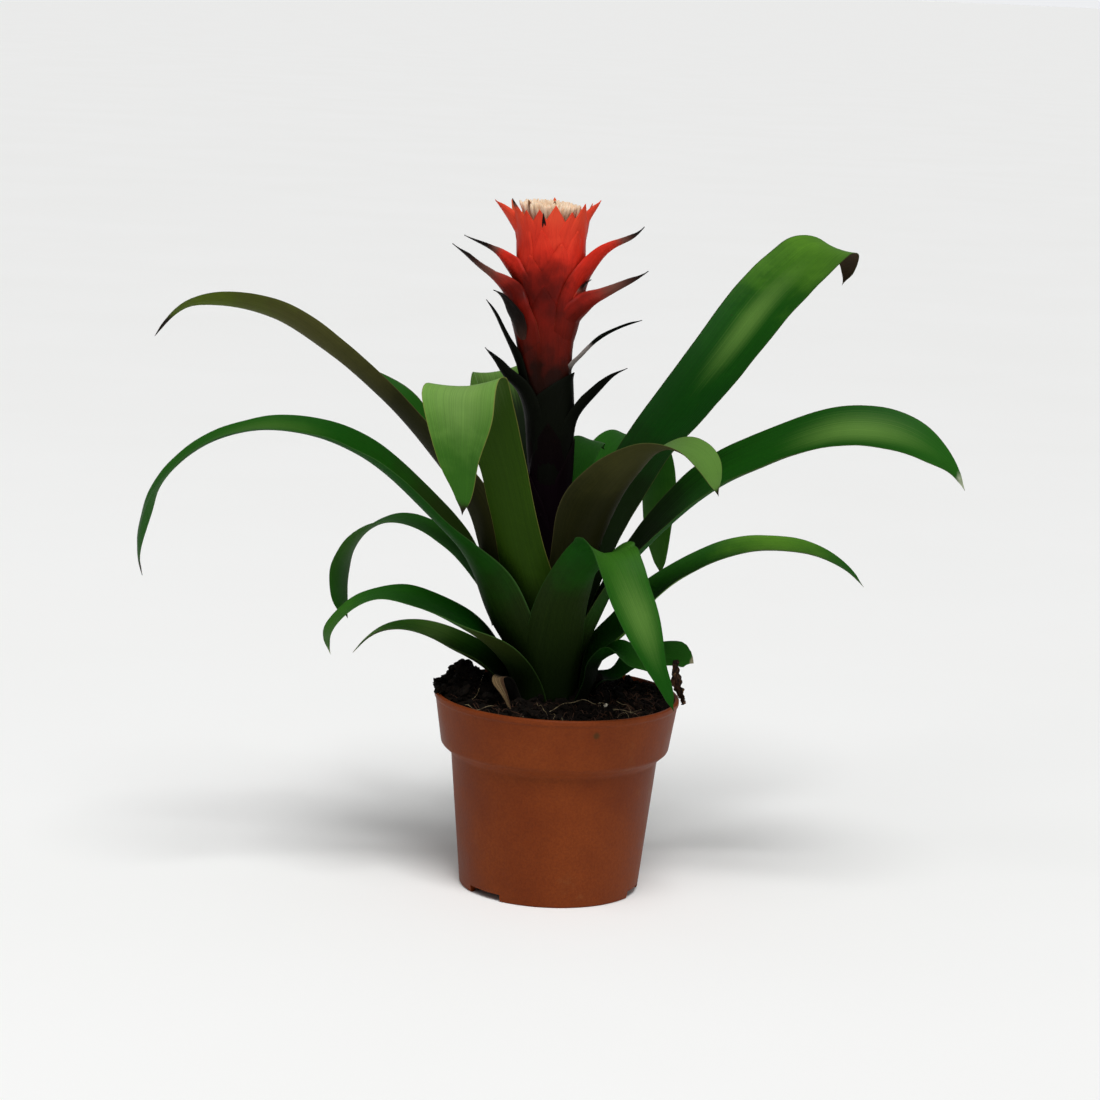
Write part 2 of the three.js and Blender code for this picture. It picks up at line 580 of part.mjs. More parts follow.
function addMesh(parent, name, geometry, colour, roughness) {
  const material = new THREE.MeshStandardMaterial({ color: colour, roughness, metalness: 0 });
  const mesh = new THREE.Mesh(geometry, material);
  mesh.name = name;
  parent.add(mesh);
}

const TERRACOTTA = 0x8a4526;
const PEAT = 0x1d130d;
const LEAF_GREEN = 0x2c6b22;
const DRY_BROWN = 0x6e5332;
const DARK_BRACT = 0x1c1a14;
const BRACT_RED = 0xb92a20;
const CREAM = 0xe6c79c;

addMesh(group, "pot", potGeometry(), TERRACOTTA, 0.5);
addMesh(group, "soil", soilGeometry(), PEAT, 0.95);
for (const leaf of LEAVES) {
  const dry = leaf.name === "leaf_dry_scale";
  addMesh(plant, leaf.name, leafGeometry(leaf), dry ? DRY_BROWN : LEAF_GREEN, 0.4);
}

const stemCore = column(
  [
    [0, -CROWN_DEPTH],
    [CROWN_RADIUS - 6, -CROWN_DEPTH],
    [CROWN_RADIUS, -CROWN_DEPTH + 8],
    [CROWN_RADIUS, -NODE_GAP],
    ...STEM_PROFILE,
    [0, HEAD_FOOT - NODE_GAP],
  ],
  STEM_SIDES,
);
const stemBracts = STEM_BRACTS.map((bract) => bractSolid(bract, 0));
const stem = largestBody(joined([stemCore, ...stemBracts]));
addMesh(plant, "flower_stem", toGeometry(stem), DARK_BRACT, 0.5);

const headCore = column([[0, HEAD_FOOT], ...HEAD_PROFILE, [0, HEAD_TOP]], STEM_SIDES);
const ringBracts = Array.from({ length: RING_BRACTS }, (_, i) => ringBract(i));
const headBracts = [...RED_BRACTS, ...ringBracts].map((bract) => bractSolid(bract, 0));
const reachingBracts = STEM_BRACTS.filter(({ tip }) => tip > HEAD_FOOT);
const clearance = joined(reachingBracts.map((bract) => bractSolid(bract, 2 * NODE_GAP)));
const head = largestBody(joined([headCore, ...headBracts]).subtract(clearance));
addMesh(plant, "flower_head", toGeometry(head), BRACT_RED, 0.5);

const floretBed = column(
  [
    [0, HEAD_TOP + NODE_GAP],
    [FLORET_SPREAD + 0.4, HEAD_TOP + NODE_GAP],
    [FLORET_SPREAD - 0.6, FLORET_BED + 3],
    [0, FLORET_BED + 4],
  ],
  STEM_SIDES,
);
const florets = Array.from({ length: FLORETS }, (_, i) => floretSolid(i));
addMesh(plant, "florets", toGeometry(largestBody(joined([floretBed, ...florets]))), CREAM, 0.6);

export default group;
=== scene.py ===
"""A potted guzmania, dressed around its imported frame: leaves, flower, soil, pot, floor, light and camera.

Lengths in the tables are in millimetres, as on the part, and turned into metres when a mesh is made.
"""

import math
import random

import bmesh
import bpy
import numpy as np
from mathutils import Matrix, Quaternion, Vector, noise


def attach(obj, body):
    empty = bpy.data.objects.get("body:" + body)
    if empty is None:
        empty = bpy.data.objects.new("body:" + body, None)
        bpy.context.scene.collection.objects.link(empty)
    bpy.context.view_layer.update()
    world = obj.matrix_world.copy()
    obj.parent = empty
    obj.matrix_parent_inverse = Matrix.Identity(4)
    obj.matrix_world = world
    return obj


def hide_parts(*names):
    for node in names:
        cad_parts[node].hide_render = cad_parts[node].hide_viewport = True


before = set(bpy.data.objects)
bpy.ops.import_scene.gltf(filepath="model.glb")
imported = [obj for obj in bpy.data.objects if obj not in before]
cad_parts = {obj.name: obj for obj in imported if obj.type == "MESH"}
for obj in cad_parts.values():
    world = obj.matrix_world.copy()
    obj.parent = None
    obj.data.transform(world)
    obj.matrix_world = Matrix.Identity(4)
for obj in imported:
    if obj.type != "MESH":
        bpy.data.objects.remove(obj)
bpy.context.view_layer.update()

MM = 0.001
CROWN = np.array([-4.0, 0.0, 90.0])

# The flower stem, as on the part. Profiles are [radius, height above the crown] points.
STEM_LEAN = 0.04
HEAD_FOOT = 154
HEAD_TOP = 230
STEM_PROFILE = [(6.2, 0), (6.2, 36), (9, 64), (10.2, 100), (10.6, HEAD_FOOT)]
HEAD_PROFILE = [(10, HEAD_FOOT), (11.2, 178), (13.4, 198), (14.2, HEAD_TOP - 8), (12, HEAD_TOP)]

# The soil, as on the part.
SOIL_EDGE_HEIGHT = 91.5
SOIL_EDGE_RADIUS = 56.5
RIM_HEIGHT = 96

random.seed(7)


def smooth(x, low, high):
    t = np.clip((np.asarray(x, float) - low) / (high - low), 0, 1)
    return t * t * (3 - 2 * t)


def rgb(text):
    """A colour written as six hex digits, as the linear numbers that a shader takes."""
    channels = [int(text[i : i + 2], 16) / 255 for i in (0, 2, 4)]
    return [c / 12.92 if c < 0.04045 else ((c + 0.055) / 1.055) ** 2.4 for c in channels] + [1.0]


def cubic(knots, values, wanted):
    """A natural cubic through values at knots, read at wanted."""
    knots, values = np.asarray(knots, float), np.asarray(values, float)
    count = len(knots)
    flat = values.reshape(count, -1)
    step = np.diff(knots)
    matrix = np.eye(count)
    right = np.zeros_like(flat)
    for i in range(1, count - 1):
        matrix[i, i - 1 : i + 2] = step[i - 1], 2 * (step[i - 1] + step[i]), step[i]
        right[i] = 6 * ((flat[i + 1] - flat[i]) / step[i] - (flat[i] - flat[i - 1]) / step[i - 1])
    second = np.linalg.solve(matrix, right)
    k = np.clip(np.searchsorted(knots, wanted, side="right") - 1, 0, count - 2)
    h = step[k][:, None]
    a = (knots[k + 1] - wanted)[:, None] / h
    b = 1 - a
    bend = ((a**3 - a) * second[k] + (b**3 - b) * second[k + 1]) * h * h / 6
    return (a * flat[k] + b * flat[k + 1] + bend).reshape((len(wanted),) + values.shape[1:])


def unit(vectors):
    return vectors / np.maximum(np.linalg.norm(vectors, axis=-1, keepdims=True), 1e-12)


def normals(grid):
    return unit(np.cross(np.gradient(grid, axis=0), np.gradient(grid, axis=1)))


def distances(path):
    """How far along a path each of its points lies."""
    return np.concatenate([[0], np.cumsum(np.linalg.norm(np.diff(path, axis=0), axis=1))])


def noise_at(*place):
    return noise.noise(Vector(place))


def new_object(name, data):
    made = bpy.data.objects.new(name, data)
    bpy.context.scene.collection.objects.link(made)
    return made


class Form:
    """Closed shapes gathered into one mesh, with one number per point under each attribute's name."""

    def __init__(self):
        self.points, self.faces, self.numbers = [], [], {}

    def add(self, points, faces, **numbers):
        start = len(self.points)
        self.points.extend(np.asarray(points, float).tolist())
        self.faces.extend([start + i for i in face] for face in faces)
        for name, values in numbers.items():
            column = self.numbers.setdefault(name, [])
            column.extend(np.broadcast_to(values, len(points)).tolist())

    def piece(self, name, material, slot, replaced=(), smooth_shaded=True):
        mesh = bpy.data.meshes.new(name)
        mesh.from_pydata([[c * MM for c in p] for p in self.points], [], self.faces)
        for key, values in self.numbers.items():
            mesh.attributes.new(key, "FLOAT", "POINT").data.foreach_set("value", values)
        mesh.polygons.foreach_set("use_smooth", [smooth_shaded] * len(mesh.polygons))
        mesh.materials.append(material)
        made = new_object(name, mesh)
        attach(made, "root")
        if replaced:
            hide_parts(*replaced)
        return made


def thin_solid(middle, thick):
    """A thin closed solid about a grid of middle points; the upper side faces along x across."""
    rows, columns = middle.shape[:2]
    lift = normals(middle) * np.asarray(thick)[..., None] / 2
    points = np.concatenate([(middle + lift).reshape(-1, 3), (middle - lift).reshape(-1, 3)])
    low = rows * columns
    faces = []
    for k in range(rows - 1):
        for j in range(columns - 1):
            a = k * columns + j
            faces.append((a, a + columns, a + columns + 1, a + 1))
            faces.append((low + a, low + a + 1, low + a + columns + 1, low + a + columns))
        a, b = k * columns, k * columns + columns - 1
        faces.append((a, low + a, low + a + columns, a + columns))
        faces.append((b, b + columns, low + b + columns, low + b))
    for j in range(columns - 1):
        a, b = j, (rows - 1) * columns + j
        faces.append((a, a + 1, low + a + 1, low + a))
        faces.append((b, low + b, low + b + 1, b + 1))
    return points, faces


def both_sides(values, size):
    """Numbers over a grid of this size, for the points of its thin solid."""
    return np.tile(np.broadcast_to(values, size).reshape(-1), 2)


def loft(rings):
    """A closed form through rings of points. A ring of one point is a tip, and other ends are flat."""
    points, rows, faces = [], [], []
    for ring in rings:
        rows.append(range(len(points), len(points) + len(ring)))
        points.extend(ring)
    for low, top in zip(rows, rows[1:]):
        count = max(len(low), len(top))
        for j in range(count):
            n = (j + 1) % count
            corners = low[j % len(low)], low[n % len(low)], top[n % len(top)], top[j % len(top)]
            faces.append(tuple(dict.fromkeys(corners)))
    faces.extend(tuple(end) for end in (rows[0][::-1], rows[-1]) if len(end) > 1)
    return points, faces


def round_turns(sides):
    return [2 * math.pi * j / sides for j in range(sides)]


def tube(path, radii, sides):
    """A closed tube along points, tapered by its radii."""
    path = np.asarray(path, float)
    along = unit(np.gradient(path, axis=0))
    side = np.cross(along[0], (0.3, 0.5, 0.81))
    rings = []
    for at, forward, radius in zip(path, along, radii):
        side = unit(side - forward * side.dot(forward))
        up = np.cross(forward, side)
        rings.append([at + radius * (math.cos(t) * side + math.sin(t) * up) for t in round_turns(sides)])
    return loft(rings)


def lathe(profile, sides, centre=lambda z: (0.0, 0.0)):
    """A closed turned form. The profile runs from the axis at the foot round to the axis at the top."""
    rings = []
    for radius, z in profile:
        x, y = centre(z)
        turns = round_turns(sides if radius > 0 else 1)
        rings.append([(x + radius * math.cos(t), y + radius * math.sin(t), z) for t in turns])
    return loft(rings)


def rounded(profile, radius, share=0.42):
    """A profile with each corner between its ends turned into a small curve."""
    out = [profile[0]]
    for before, corner, after in zip(profile, profile[1:], profile[2:]):
        before, corner, after = (np.array(p, float) for p in (before, corner, after))
        back, ahead = before - corner, after - corner
        reach = min(radius, share * np.linalg.norm(back), share * np.linalg.norm(ahead))
        start, end = corner + unit(back) * reach, corner + unit(ahead) * reach
        for t in (0, 0.25, 0.5, 0.75, 1):
            out.append(tuple((1 - t) ** 2 * start + 2 * t * (1 - t) * corner + t * t * end))
    return out + [profile[-1]]


# Materials.


class Tree:
    """Adds shader nodes to a node tree."""

    def __init__(self, tree):
        self.nodes, self.links = tree.nodes, tree.links

    def put(self, socket, value):
        if isinstance(value, bpy.types.NodeSocket):
            self.links.new(value, socket)
        elif value is not None:
            socket.default_value = value

    def node(self, kind, inputs=None, **settings):
        """The outputs of a new node. Inputs are values or sockets, under their names or numbers."""
        made = self.nodes.new("ShaderNode" + kind)
        for key, value in settings.items():
            setattr(made, key, value)
        for key, value in (inputs or {}).items():
            self.put(made.inputs[key], value)
        return made.outputs

    def number(self, name):
        return self.node("Attribute", attribute_name=name)["Fac"]

    def place(self):
        return self.node("TexCoord")["Object"]

    def vector(self, x, y, z=0.0):
        return self.node("CombineXYZ", {0: x, 1: y, 2: z})[0]

    def stretched(self, vector, scale):
        return self.node("VectorMath", {0: vector, 1: scale}, operation="MULTIPLY")[0]

    def distance(self, vector, point):
        return self.node("VectorMath", {0: vector, 1: point}, operation="DISTANCE")["Value"]

    def noise(self, vector, scale, detail=3.0, roughness=0.55):
        inputs = {"Vector": vector, "Scale": scale, "Detail": detail, "Roughness": roughness}
        return self.node("TexNoise", inputs)["Fac"]

    def cells(self, vector, scale):
        return self.node("TexVoronoi", {"Vector": vector, "Scale": scale})["Distance"]

    def maths(self, operation, a, b=None):
        return self.node("Math", {0: a, 1: b}, operation=operation)[0]

    def span(self, value, low, high, to_low=0.0, to_high=1.0, course="SMOOTHSTEP"):
        """A value between low and high, turned into a value between to_low and to_high."""
        inputs = {"Value": value, "From Min": low, "From Max": high, "To Min": to_low, "To Max": to_high}
        return self.node("MapRange", inputs, interpolation_type=course)["Result"]

    def blend(self, share, a, b, kind="MIX"):
        """Colour a, with a share of colour b over it. Either may be six hex digits."""
        a, b = (rgb(c) if isinstance(c, str) else c for c in (a, b))
        return self.node("Mix", {"Factor": share, 6: a, 7: b}, data_type="RGBA", blend_type=kind)[2]

    def scaled(self, colour, scale):
        return self.blend(1.0, colour, scale, "MULTIPLY")


class Recipe(Tree):
    """Builds one procedural material."""

    def __init__(self, name, **fixed):
        self.material = bpy.data.materials.new(name)
        self.material.use_nodes = True
        super().__init__(self.material.node_tree)
        self.shader = self.nodes["Principled BSDF"]
        self.colour = None
        for socket, value in fixed.items():
            self.shader.inputs[socket.replace("_", " ")].default_value = value

    def bump(self, *layers):
        """Layers are (height, depth in metres), the coarsest first."""
        normal = None
        for height, depth in layers:
            normal = self.node("Bump", {"Distance": depth, "Height": height, "Normal": normal})["Normal"]
        self.put(self.shader.inputs["Normal"], normal)

    def lay(self, tone, share):
        """Put a share of a tone over the colour so far."""
        self.colour = self.blend(share, self.colour, tone)

    def coat(self, tone, value, *levels):
        """Put a tone over the colour so far, by how far a value has come between levels, as in span."""
        self.lay(tone, self.span(value, *levels))

    def finish(self, roughness):
        self.put(self.shader.inputs["Base Color"], self.colour)
        self.put(self.shader.inputs["Roughness"], roughness)
        return self.material


def patchy_material(name, gloss, grain, levels, tones, roughness):
    """Two tones in patches. The grain is a noise's (scale, detail, roughness)."""
    r = Recipe(name, Specular_IOR_Level=gloss)
    r.colour = r.blend(r.span(r.noise(r.place(), *grain), *levels), *tones)
    return r.finish(roughness)


def leaf_material(name, upper, under, margin, tip, age, highlight_and_shade_bands):
    """A strap leaf: parallel veins, mottling, painted shade over the sheath at its root, thin margins, soft
    bands of painted highlight and painted shade, and a dry tip.

    Each side has five tones, from its root to its end.
    """
    r = Recipe(name, IOR=1.18, Specular_IOR_Level=0.3)
    across, along, share, side = (r.number(n) for n in ("across", "along", "share", "under"))
    strips, place = r.vector(across, along), r.place()
    clouds = r.noise(place, 42, 4, 0.62)
    drift = r.maths("ADD", share, r.span(clouds, 0.3, 0.7, -0.03, 0.03))
    veins = r.noise(r.stretched(strips, (26, 5, 1)), 1.0, 2, 0.5)
    fine = r.noise(r.stretched(strips, (85, 12, 1)), 1.0, 2, 0.6)

    def tone(five):
        colour = five[0]
        for k in range(1, 5):
            colour = r.blend(r.span(drift, 0.2 * k - 0.07, 0.2 * k + 0.13), colour, five[k])
        return colour

    r.colour = r.blend(side, tone(upper), tone(under))
    # Bands of painted highlight, and one of painted shade, laid over the tones.
    for far, middle, length, width, strength, band_tone in highlight_and_shade_bands:
        spread = r.stretched(r.vector(share, across), (1 / length, 1 / width, 0))
        gap = r.distance(spread, (far / length, middle / width, 0))
        gap = r.maths("ADD", gap, r.span(veins, 0.3, 0.7, -0.12, 0.12))
        r.coat(TONES[band_tone], gap, 0.0, 1.0, strength, 0.0)
    light = r.scaled(r.colour, (1.5, 1.4, 1.35, 1))
    r.coat(light, veins, 0.38, 0.74, 0.0, 0.35)
    r.coat(light, clouds, 0.5, 0.75, 0.0, 0.35)
    r.coat(r.scaled(r.colour, (0.5, 0.55, 0.5, 1)), fine, 0.35, 0.7, 0.0, 0.4)
    rim = r.span(r.maths("ABSOLUTE", across), 0.965, 0.995, 0.0, 0.6)
    r.lay(margin, rim)
    # Painted shade of the crown: the colour is darkened near the root, fully within 1 cm of it and fading
    # out by 6 cm.
    r.coat(r.scaled(r.colour, "a4ac98"), along, 0.01, 0.06, 1.0, 0.0)
    specks = r.span(r.cells(place, 150), 0.06, 0.12, 0.5, 0.0)
    spotted = r.maths("MULTIPLY", specks, r.span(r.noise(place, 21), 0.55, 0.7))
    r.lay("2c2810", spotted)
    withered = r.maths("ADD", share, r.span(r.noise(place, 90), 0.3, 0.7, -0.008, 0.008))
    r.coat(tip, withered, age, age + 0.02)
    r.bump((veins, 0.00014), (fine, 0.00004))
    roughness = r.blend(side, (0.48, 0.48, 0.48, 1), (0.6, 0.6, 0.6, 1))
    return r.finish(roughness)


TONES = {
    "night": "0a1405",
    "shade": "101e08",
    "deep": "0a3806",
    "leaf": "124408",
    "mid": "1e5010",
    "fresh": "305e18",
    "grass": "4b7820",
    "pale": "557a34",
    "light": "6a9442",
    "cream": "7f9a5c",
    "olive": "1c2c0a",
    "bark": "23240d",
    "fern": "284208",
    "lime": "4c5e12",
    "drab": "38381a",
    "moss": "2e3a12",
    "khaki": "464622",
    "brown": "26200f",
    "umber": "3c2e1a",
}

# Each leaf's tones on its upper side and under side, its margin, its dry tip, how far along it is still
# green, and then its bands: (how far along, across, length, width, strength, tone). The night and shade
# tones near the roots are the leaves' dark bases with painted shade of the crown over them. The pale
# bands are painted highlights, and the dark band on the long right leaf is painted shade.
DRY = "241a0c"
LEAF_LOOKS = {
    "left_high": ("shade deep mid mid fresh", "night bark bark khaki lime", "4a4a26", "1e160b", 0.95),
    "left_arch": ("olive olive leaf mid mid", "olive leaf leaf leaf mid", "3a5c2c", DRY, 0.96,
                  (0.66, -0.1, 0.12, 1.0, 0.35, "pale")),
    "back_left_curl": ("shade leaf mid mid mid", "shade moss mid fresh mid", "3c5c2c", DRY, 0.98),
    "left_low": ("shade deep leaf mid fresh", "olive moss mid mid mid", "4a6a34", "8a9468", 0.972),
    "left_lowest": ("shade fresh pale fresh pale", "olive moss moss moss moss", "4a6a34", "8a8a64", 0.965),
    "front_left_folded": ("deep mid pale light fresh", "olive fern fern fern moss", "7c7a3c", "1e140a",
                          0.975, (0.76, 0.0, 0.13, 1.3, 0.4, "cream")),
    "back_high": ("night night shade shade mid", "night shade shade mid mid", "5c7c44", DRY, 0.98,
                  (0.82, 0.0, 0.2, 3.0, 0.95, "light")),
    "front_right_bent": ("night mid mid pale pale", "night bark bark drab drab", "4a4628", "1e140a", 0.97),
    "right_high": ("night shade deep leaf grass", "olive moss moss moss umber", "2c3a14", DRY, 0.985,
                   (0.72, 0.05, 0.17, 0.55, 0.85, "pale")),
    "right_long": ("shade shade leaf leaf mid", "olive leaf leaf moss moss", "3c4c24", "9aa288", 0.965,
                   (0.78, 0.1, 0.16, 0.9, 0.9, "pale"), (0.36, 0.8, 0.26, 1.0, 0.8, "night")),
    "right_low": ("mid mid mid grass mid", "moss grass moss moss moss", "4c6834", "6a7444", 0.985),
    "back_right_hanging": ("shade mid mid mid fresh", "olive mid mid mid fresh", "4c6c34", DRY, 0.98),
    "back_short": ("shade mid mid mid mid", "shade deep deep mid mid", "2c4a24", DRY, 0.98),
    "front_folded": ("shade mid fresh mid leaf", "olive olive leaf leaf leaf", "2a4c20", "1e2a0c", 0.985,
                     (0.75, 0.08, 0.17, 1.05, 0.8, "pale")),
    "right_curl": ("night deep leaf mid mid", "shade leaf leaf mid mid", "34562a", "8a8468", 0.955),
    "right_under": ("night night leaf mid mid", "night night leaf mid mid", "34562a", DRY, 0.97),
}
for hidden in ("back_low", "back_left_low", "back_lowest"):
    LEAF_LOOKS[hidden] = ("shade leaf mid fresh fresh", "olive moss moss moss moss", "4c6c34", DRY, 0.98)


# Leaves. The node of each leaf is a chain of rings of ten points; its middle surface is read back
# from them, drawn finely and given the thickness, edges and slight waves of a real leaf.
RING = 10
COLUMNS = 23
ROW_GAP = 1.7
FEWEST_ROWS = 24
POINTED_END = 6
FLATTEST_RADIUS = 900

# Thicknesses of a leaf along its middle, at its root and at its tip, and at its margins.
ROOT_THICKNESS = 0.95
TIP_THICKNESS = 0.5
MARGIN_THICKNESS = 0.28


def welded(node):
    """A node's points in millimetres and its triangles, with the corners that meet made one."""
    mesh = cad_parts[node].data
    found, where, points = {}, [], []
    for vertex in mesh.vertices:
        key = tuple(round(c / MM, 2) for c in vertex.co)
        if key not in found:
            found[key] = len(points)
            points.append([c / MM for c in vertex.co])
        where.append(found[key])
    triangles = [[where[i] for i in p.vertices] for p in mesh.polygons]
    return np.array(points), triangles


def in_turn(members, follows, start):
    order = [start]
    while len(order) < len(members):
        order.append(follows[order[-1]])
    return order


def read_rings(node):
    """The rings of a leaf's node, root first, as an array of (ring, 10, xyz)."""
    points, triangles = welded(node)
    neighbours = [set() for _ in points]
    for t in triangles:
        for i in range(3):
            neighbours[t[i]].update(t)
    layer = {i for i, p in enumerate(points) if p[2] < CROWN[2] + 0.05}
    level = {i: 0 for i in layer}
    layers = [layer]
    while len(level) < len(points):
        layer = {j for i in layers[-1] for j in neighbours[i] if j not in level}
        level.update({j: len(layers) for j in layer})
        layers.append(layer)
    # The faces' own winding tells which way round a ring runs.
    follows = [{} for _ in layers]
    for t in triangles:
        for i in range(3):
            a, b, other = t[i], t[(i + 1) % 3], t[(i + 2) % 3]
            if level[a] == level[b] and level[other] == level[a] - 1:
                follows[level[a]][a] = b
            if level[a] == level[b] == 0 and level[other] == 1:
                follows[0][b] = a
    rings = []
    for k, members in enumerate(layers):
        order = in_turn(members, follows[k], min(members))
        ring = points[order]
        turns = [np.roll(ring, -s, axis=0) for s in range(RING)]
        if not rings:
            # The upper side faces the stem, so its five points are the nearest to it.
            away = [np.linalg.norm(turn[:, :2] - CROWN[:2], axis=1) for turn in turns]
            best = min(range(RING), key=lambda s: away[s][:5].mean() - away[s][5:].mean())
        else:
            last = rings[-1] - rings[-1].mean(0)
            spread = np.linalg.norm(last) / np.linalg.norm(ring - ring.mean(0))
            cost = [np.linalg.norm((turn - turn.mean(0)) * spread - last) for turn in turns]
            best = int(np.argmin(cost))
        rings.append(turns[best])
    return np.array(rings)


def middle_lines(node, rows=None):
    """Five lines along a leaf's middle surface, and how far along the midrib each row lies."""
    rings = read_rings(node)
    middle = (rings[:, :5] + rings[:, :4:-1]) / 2
    knots = distances(middle[:, 2])
    along = np.linspace(0, knots[-1], rows or max(FEWEST_ROWS, int(knots[-1] / ROW_GAP)))
    return cubic(knots, middle, along), along


def arcs(left, middle, right, reach):
    """Points on the circle through each row's three; reach is -1 at the left and 1 at the right."""
    a, b = left - middle, right - middle
    turn = np.cross(a, b)
    size = np.maximum(np.linalg.norm(turn, axis=1, keepdims=True), 1e-3)
    square = lambda p: (p * p).sum(1, keepdims=True)
    centre = np.cross(square(a) * b - square(b) * a, turn) / (2 * size**2)
    radius = np.maximum(np.linalg.norm(centre, axis=1, keepdims=True), 1e-6)
    up = -centre / radius
    side = unit(np.cross(turn, up))
    side *= np.sign((side * (b - a)).sum(1, keepdims=True))
    half = []
    for p in (a, b):
        half.append(np.arctan2(abs((p * side).sum(1)), ((p - centre) * up).sum(1)))
    angle = reach * np.where(reach < 0, half[0][:, None], half[1][:, None])
    rim = up[:, None] * (np.cos(angle) - 1)[..., None] + side[:, None] * np.sin(angle)[..., None]
    curved = middle[:, None] + radius[:, None] * rim
    flat = middle[:, None] + (b - a)[:, None] / 2 * reach[..., None]
    return np.where((radius < FLATTEST_RADIUS)[..., None], curved, flat)


def leaf_grid(node, sheath):
    """A leaf's middle surface as a fine grid, with each row's distance from the root, each column's
    place from margin to margin, and how far each row is narrowed to the point.

    Near the root the blade widens round its own curve, as a sheath does: sheath holds the growth of the
    margin at -1 and at 1, and the distances from the root where it starts to fade and has faded.
    """
    lines, along = middle_lines(node)
    v = np.sin(np.linspace(-1, 1, COLUMNS) * math.pi / 2)
    left_share, right_share, low, high = sheath
    fade = (1 - smooth(along, low, high))[:, None]
    wider = 1 + np.where(v < 0, left_share, right_share)[None] * fade
    narrow = np.clip((along[-1] - along) / POINTED_END, 0.004, 1) ** 0.75
    grid = arcs(lines[:, 0], lines[:, 2], lines[:, 4], v[None] * wider * narrow[:, None])
    return grid, along, v, narrow


# Small local shapes: (kind, how far along, spread, amount). A cup lifts both margins and wide widens the
# blade. The others move it by a vector: shift all of it, near its margin at 1 and far its margin at -1.
LEAF_FORMS = {
    "left_high": [("far", 0.54, 0.1, (9.5, -5, 8)), ("shift", 0.24, 0.08, (-6, 0, -1))],
    "left_arch": [("shift", 0.15, 0.09, (-6, -1, 0)), ("near", 0.2, 0.08, (3, 0, 5)),
                  ("cup", 0.4, 0.2, 2), ("near", 0.9, 0.06, (3.6, 0, 1))],
    "left_low": [("near", 0.5, 0.22, (0, 0, -3.5))],
    "left_lowest": [("shift", 0.55, 0.22, (0, 0, -2.4))],
    "front_folded": [("cup", 0.47, 0.09, 4.5), ("near", 0.54, 0.07, (2.5, 0, 5)),
                     ("shift", 0.74, 0.17, (2, 0, 0)), ("wide", 0.95, 0.13, -0.5),
                     ("shift", 0.94, 0.05, (1.1, 0, 0))],
    "front_left_folded": [("cup", 0.5, 0.06, 1.5), ("near", 0.815, 0.055, (4, 0, 0)),
                          ("far", 0.76, 0.035, (-2, 0, 1.5))],
    "front_right_bent": [("far", 0.55, 0.12, (-4, 0, 2)), ("wide", 0.85, 0.12, -0.14)],
    "right_long": [("cup", 0.6, 0.2, 2), ("wide", 0.38, 0.14, 0.25), ("shift", 0.38, 0.14, (0.7, 0, -2.4)),
                   ("wide", 0.8, 0.1, 0.1), ("wide", 1.0, 0.07, -0.5)],
    "right_high": [("wide", 0.97, 0.06, -0.35)],
    "right_low": [("shift", 0.24, 0.1, (3, 0, -5)), ("shift", 0.12, 0.06, (3, 0, -2))],
    "right_curl": [("shift", 0.38, 0.13, (2, 0, -7)), ("wide", 0.38, 0.14, -0.5),
                   ("near", 0.75, 0.12, (0, 0, -3)), ("shift", 1.0, 0.13, (2.5, 0, 0))],
    "right_under": [("shift", 0.45, 0.16, (-2, 0, 6.5)), ("far", 0.48, 0.1, (0, 0, 4.5)),
                    ("shift", 0.36, 0.08, (-2.6, 0, 0)), ("shift", 0.55, 0.09, (0, 0, 2))],
}

# The growth of a sheath's two margins and where it fades.
PLAIN_SHEATH = (0.45, 0.45, 18, 92)
SHEATHS = {
    "left_arch": (0.3, 1.1, 30, 115),
    "front_folded": (0.6, 0.2, 18, 92),
    "front_left_folded": (0.5, 0.5, 18, 92),
    "right_under": (0.6, 0.4, 12, 60),
    "left_low": (0.5, 0.7, 18, 92),
    "left_high": (0.4, 0.9, 60, 170),
}


def leaf_piece(index, name):
    upper, under, margin, tip, age, *highlight_and_shade_bands = LEAF_LOOKS[name]
    node = "leaf_" + name
    grid, along, v, narrow = leaf_grid(node, SHEATHS.get(name, PLAIN_SHEATH))
    share = along / along[-1]
    for kind, place, spread, amount in LEAF_FORMS.get(name, []):
        swell = np.exp(-(((share - place) / spread) ** 2))
        if kind == "wide":
            centre = grid[:, COLUMNS // 2][:, None]
            grid = centre + (grid - centre) * (1 + amount * swell)[:, None, None]
        elif kind == "cup":
            grid = grid + normals(grid) * (amount * swell[:, None] * v[None] ** 2)[..., None]
        else:
            moved = {"shift": v**0, "near": np.clip(v, 0, 1), "far": np.clip(-v, 0, 1)}[kind]
            grid = grid + (swell[:, None] * moved[None])[..., None] * np.array(amount)
    ripple = np.zeros(grid.shape[:2])
    free = smooth(along, 45, 90) * narrow
    for i, s in enumerate(along):
        for j, w in enumerate(v):
            wave = noise_at(s * 0.022, w * 0.7, index * 5.3)
            edge = noise_at(s * 0.075, math.copysign(1.5, w), index * 3.1)
            ripple[i, j] = free[i] * (0.7 * wave + 0.55 * edge * abs(w) ** 3)
    grid = grid + normals(grid) * ripple[..., None]
    thick = (ROOT_THICKNESS + (TIP_THICKNESS - ROOT_THICKNESS) * share)[:, None]
    thick = thick + (MARGIN_THICKNESS - thick) * abs(v)[None] ** 4
    points, faces = thin_solid(grid, thick * (0.25 + 0.75 * narrow)[:, None])
    size = grid.shape[:2]
    form = Form()
    form.add(points, faces, across=both_sides(v[None], size), along=both_sides(along[:, None] * MM, size),
             share=both_sides(share[:, None], size), under=np.repeat([0.0, 1.0], grid[..., 0].size))
    tones = [[TONES[tone] for tone in side.split()] for side in (upper, under)]
    material = leaf_material(node + "_skin", *tones, margin, tip, age, highlight_and_shade_bands)
    form.piece("strap_" + name, material, "leaf", [node])


for number, leaf in enumerate(LEAF_LOOKS):
    leaf_piece(number, leaf)


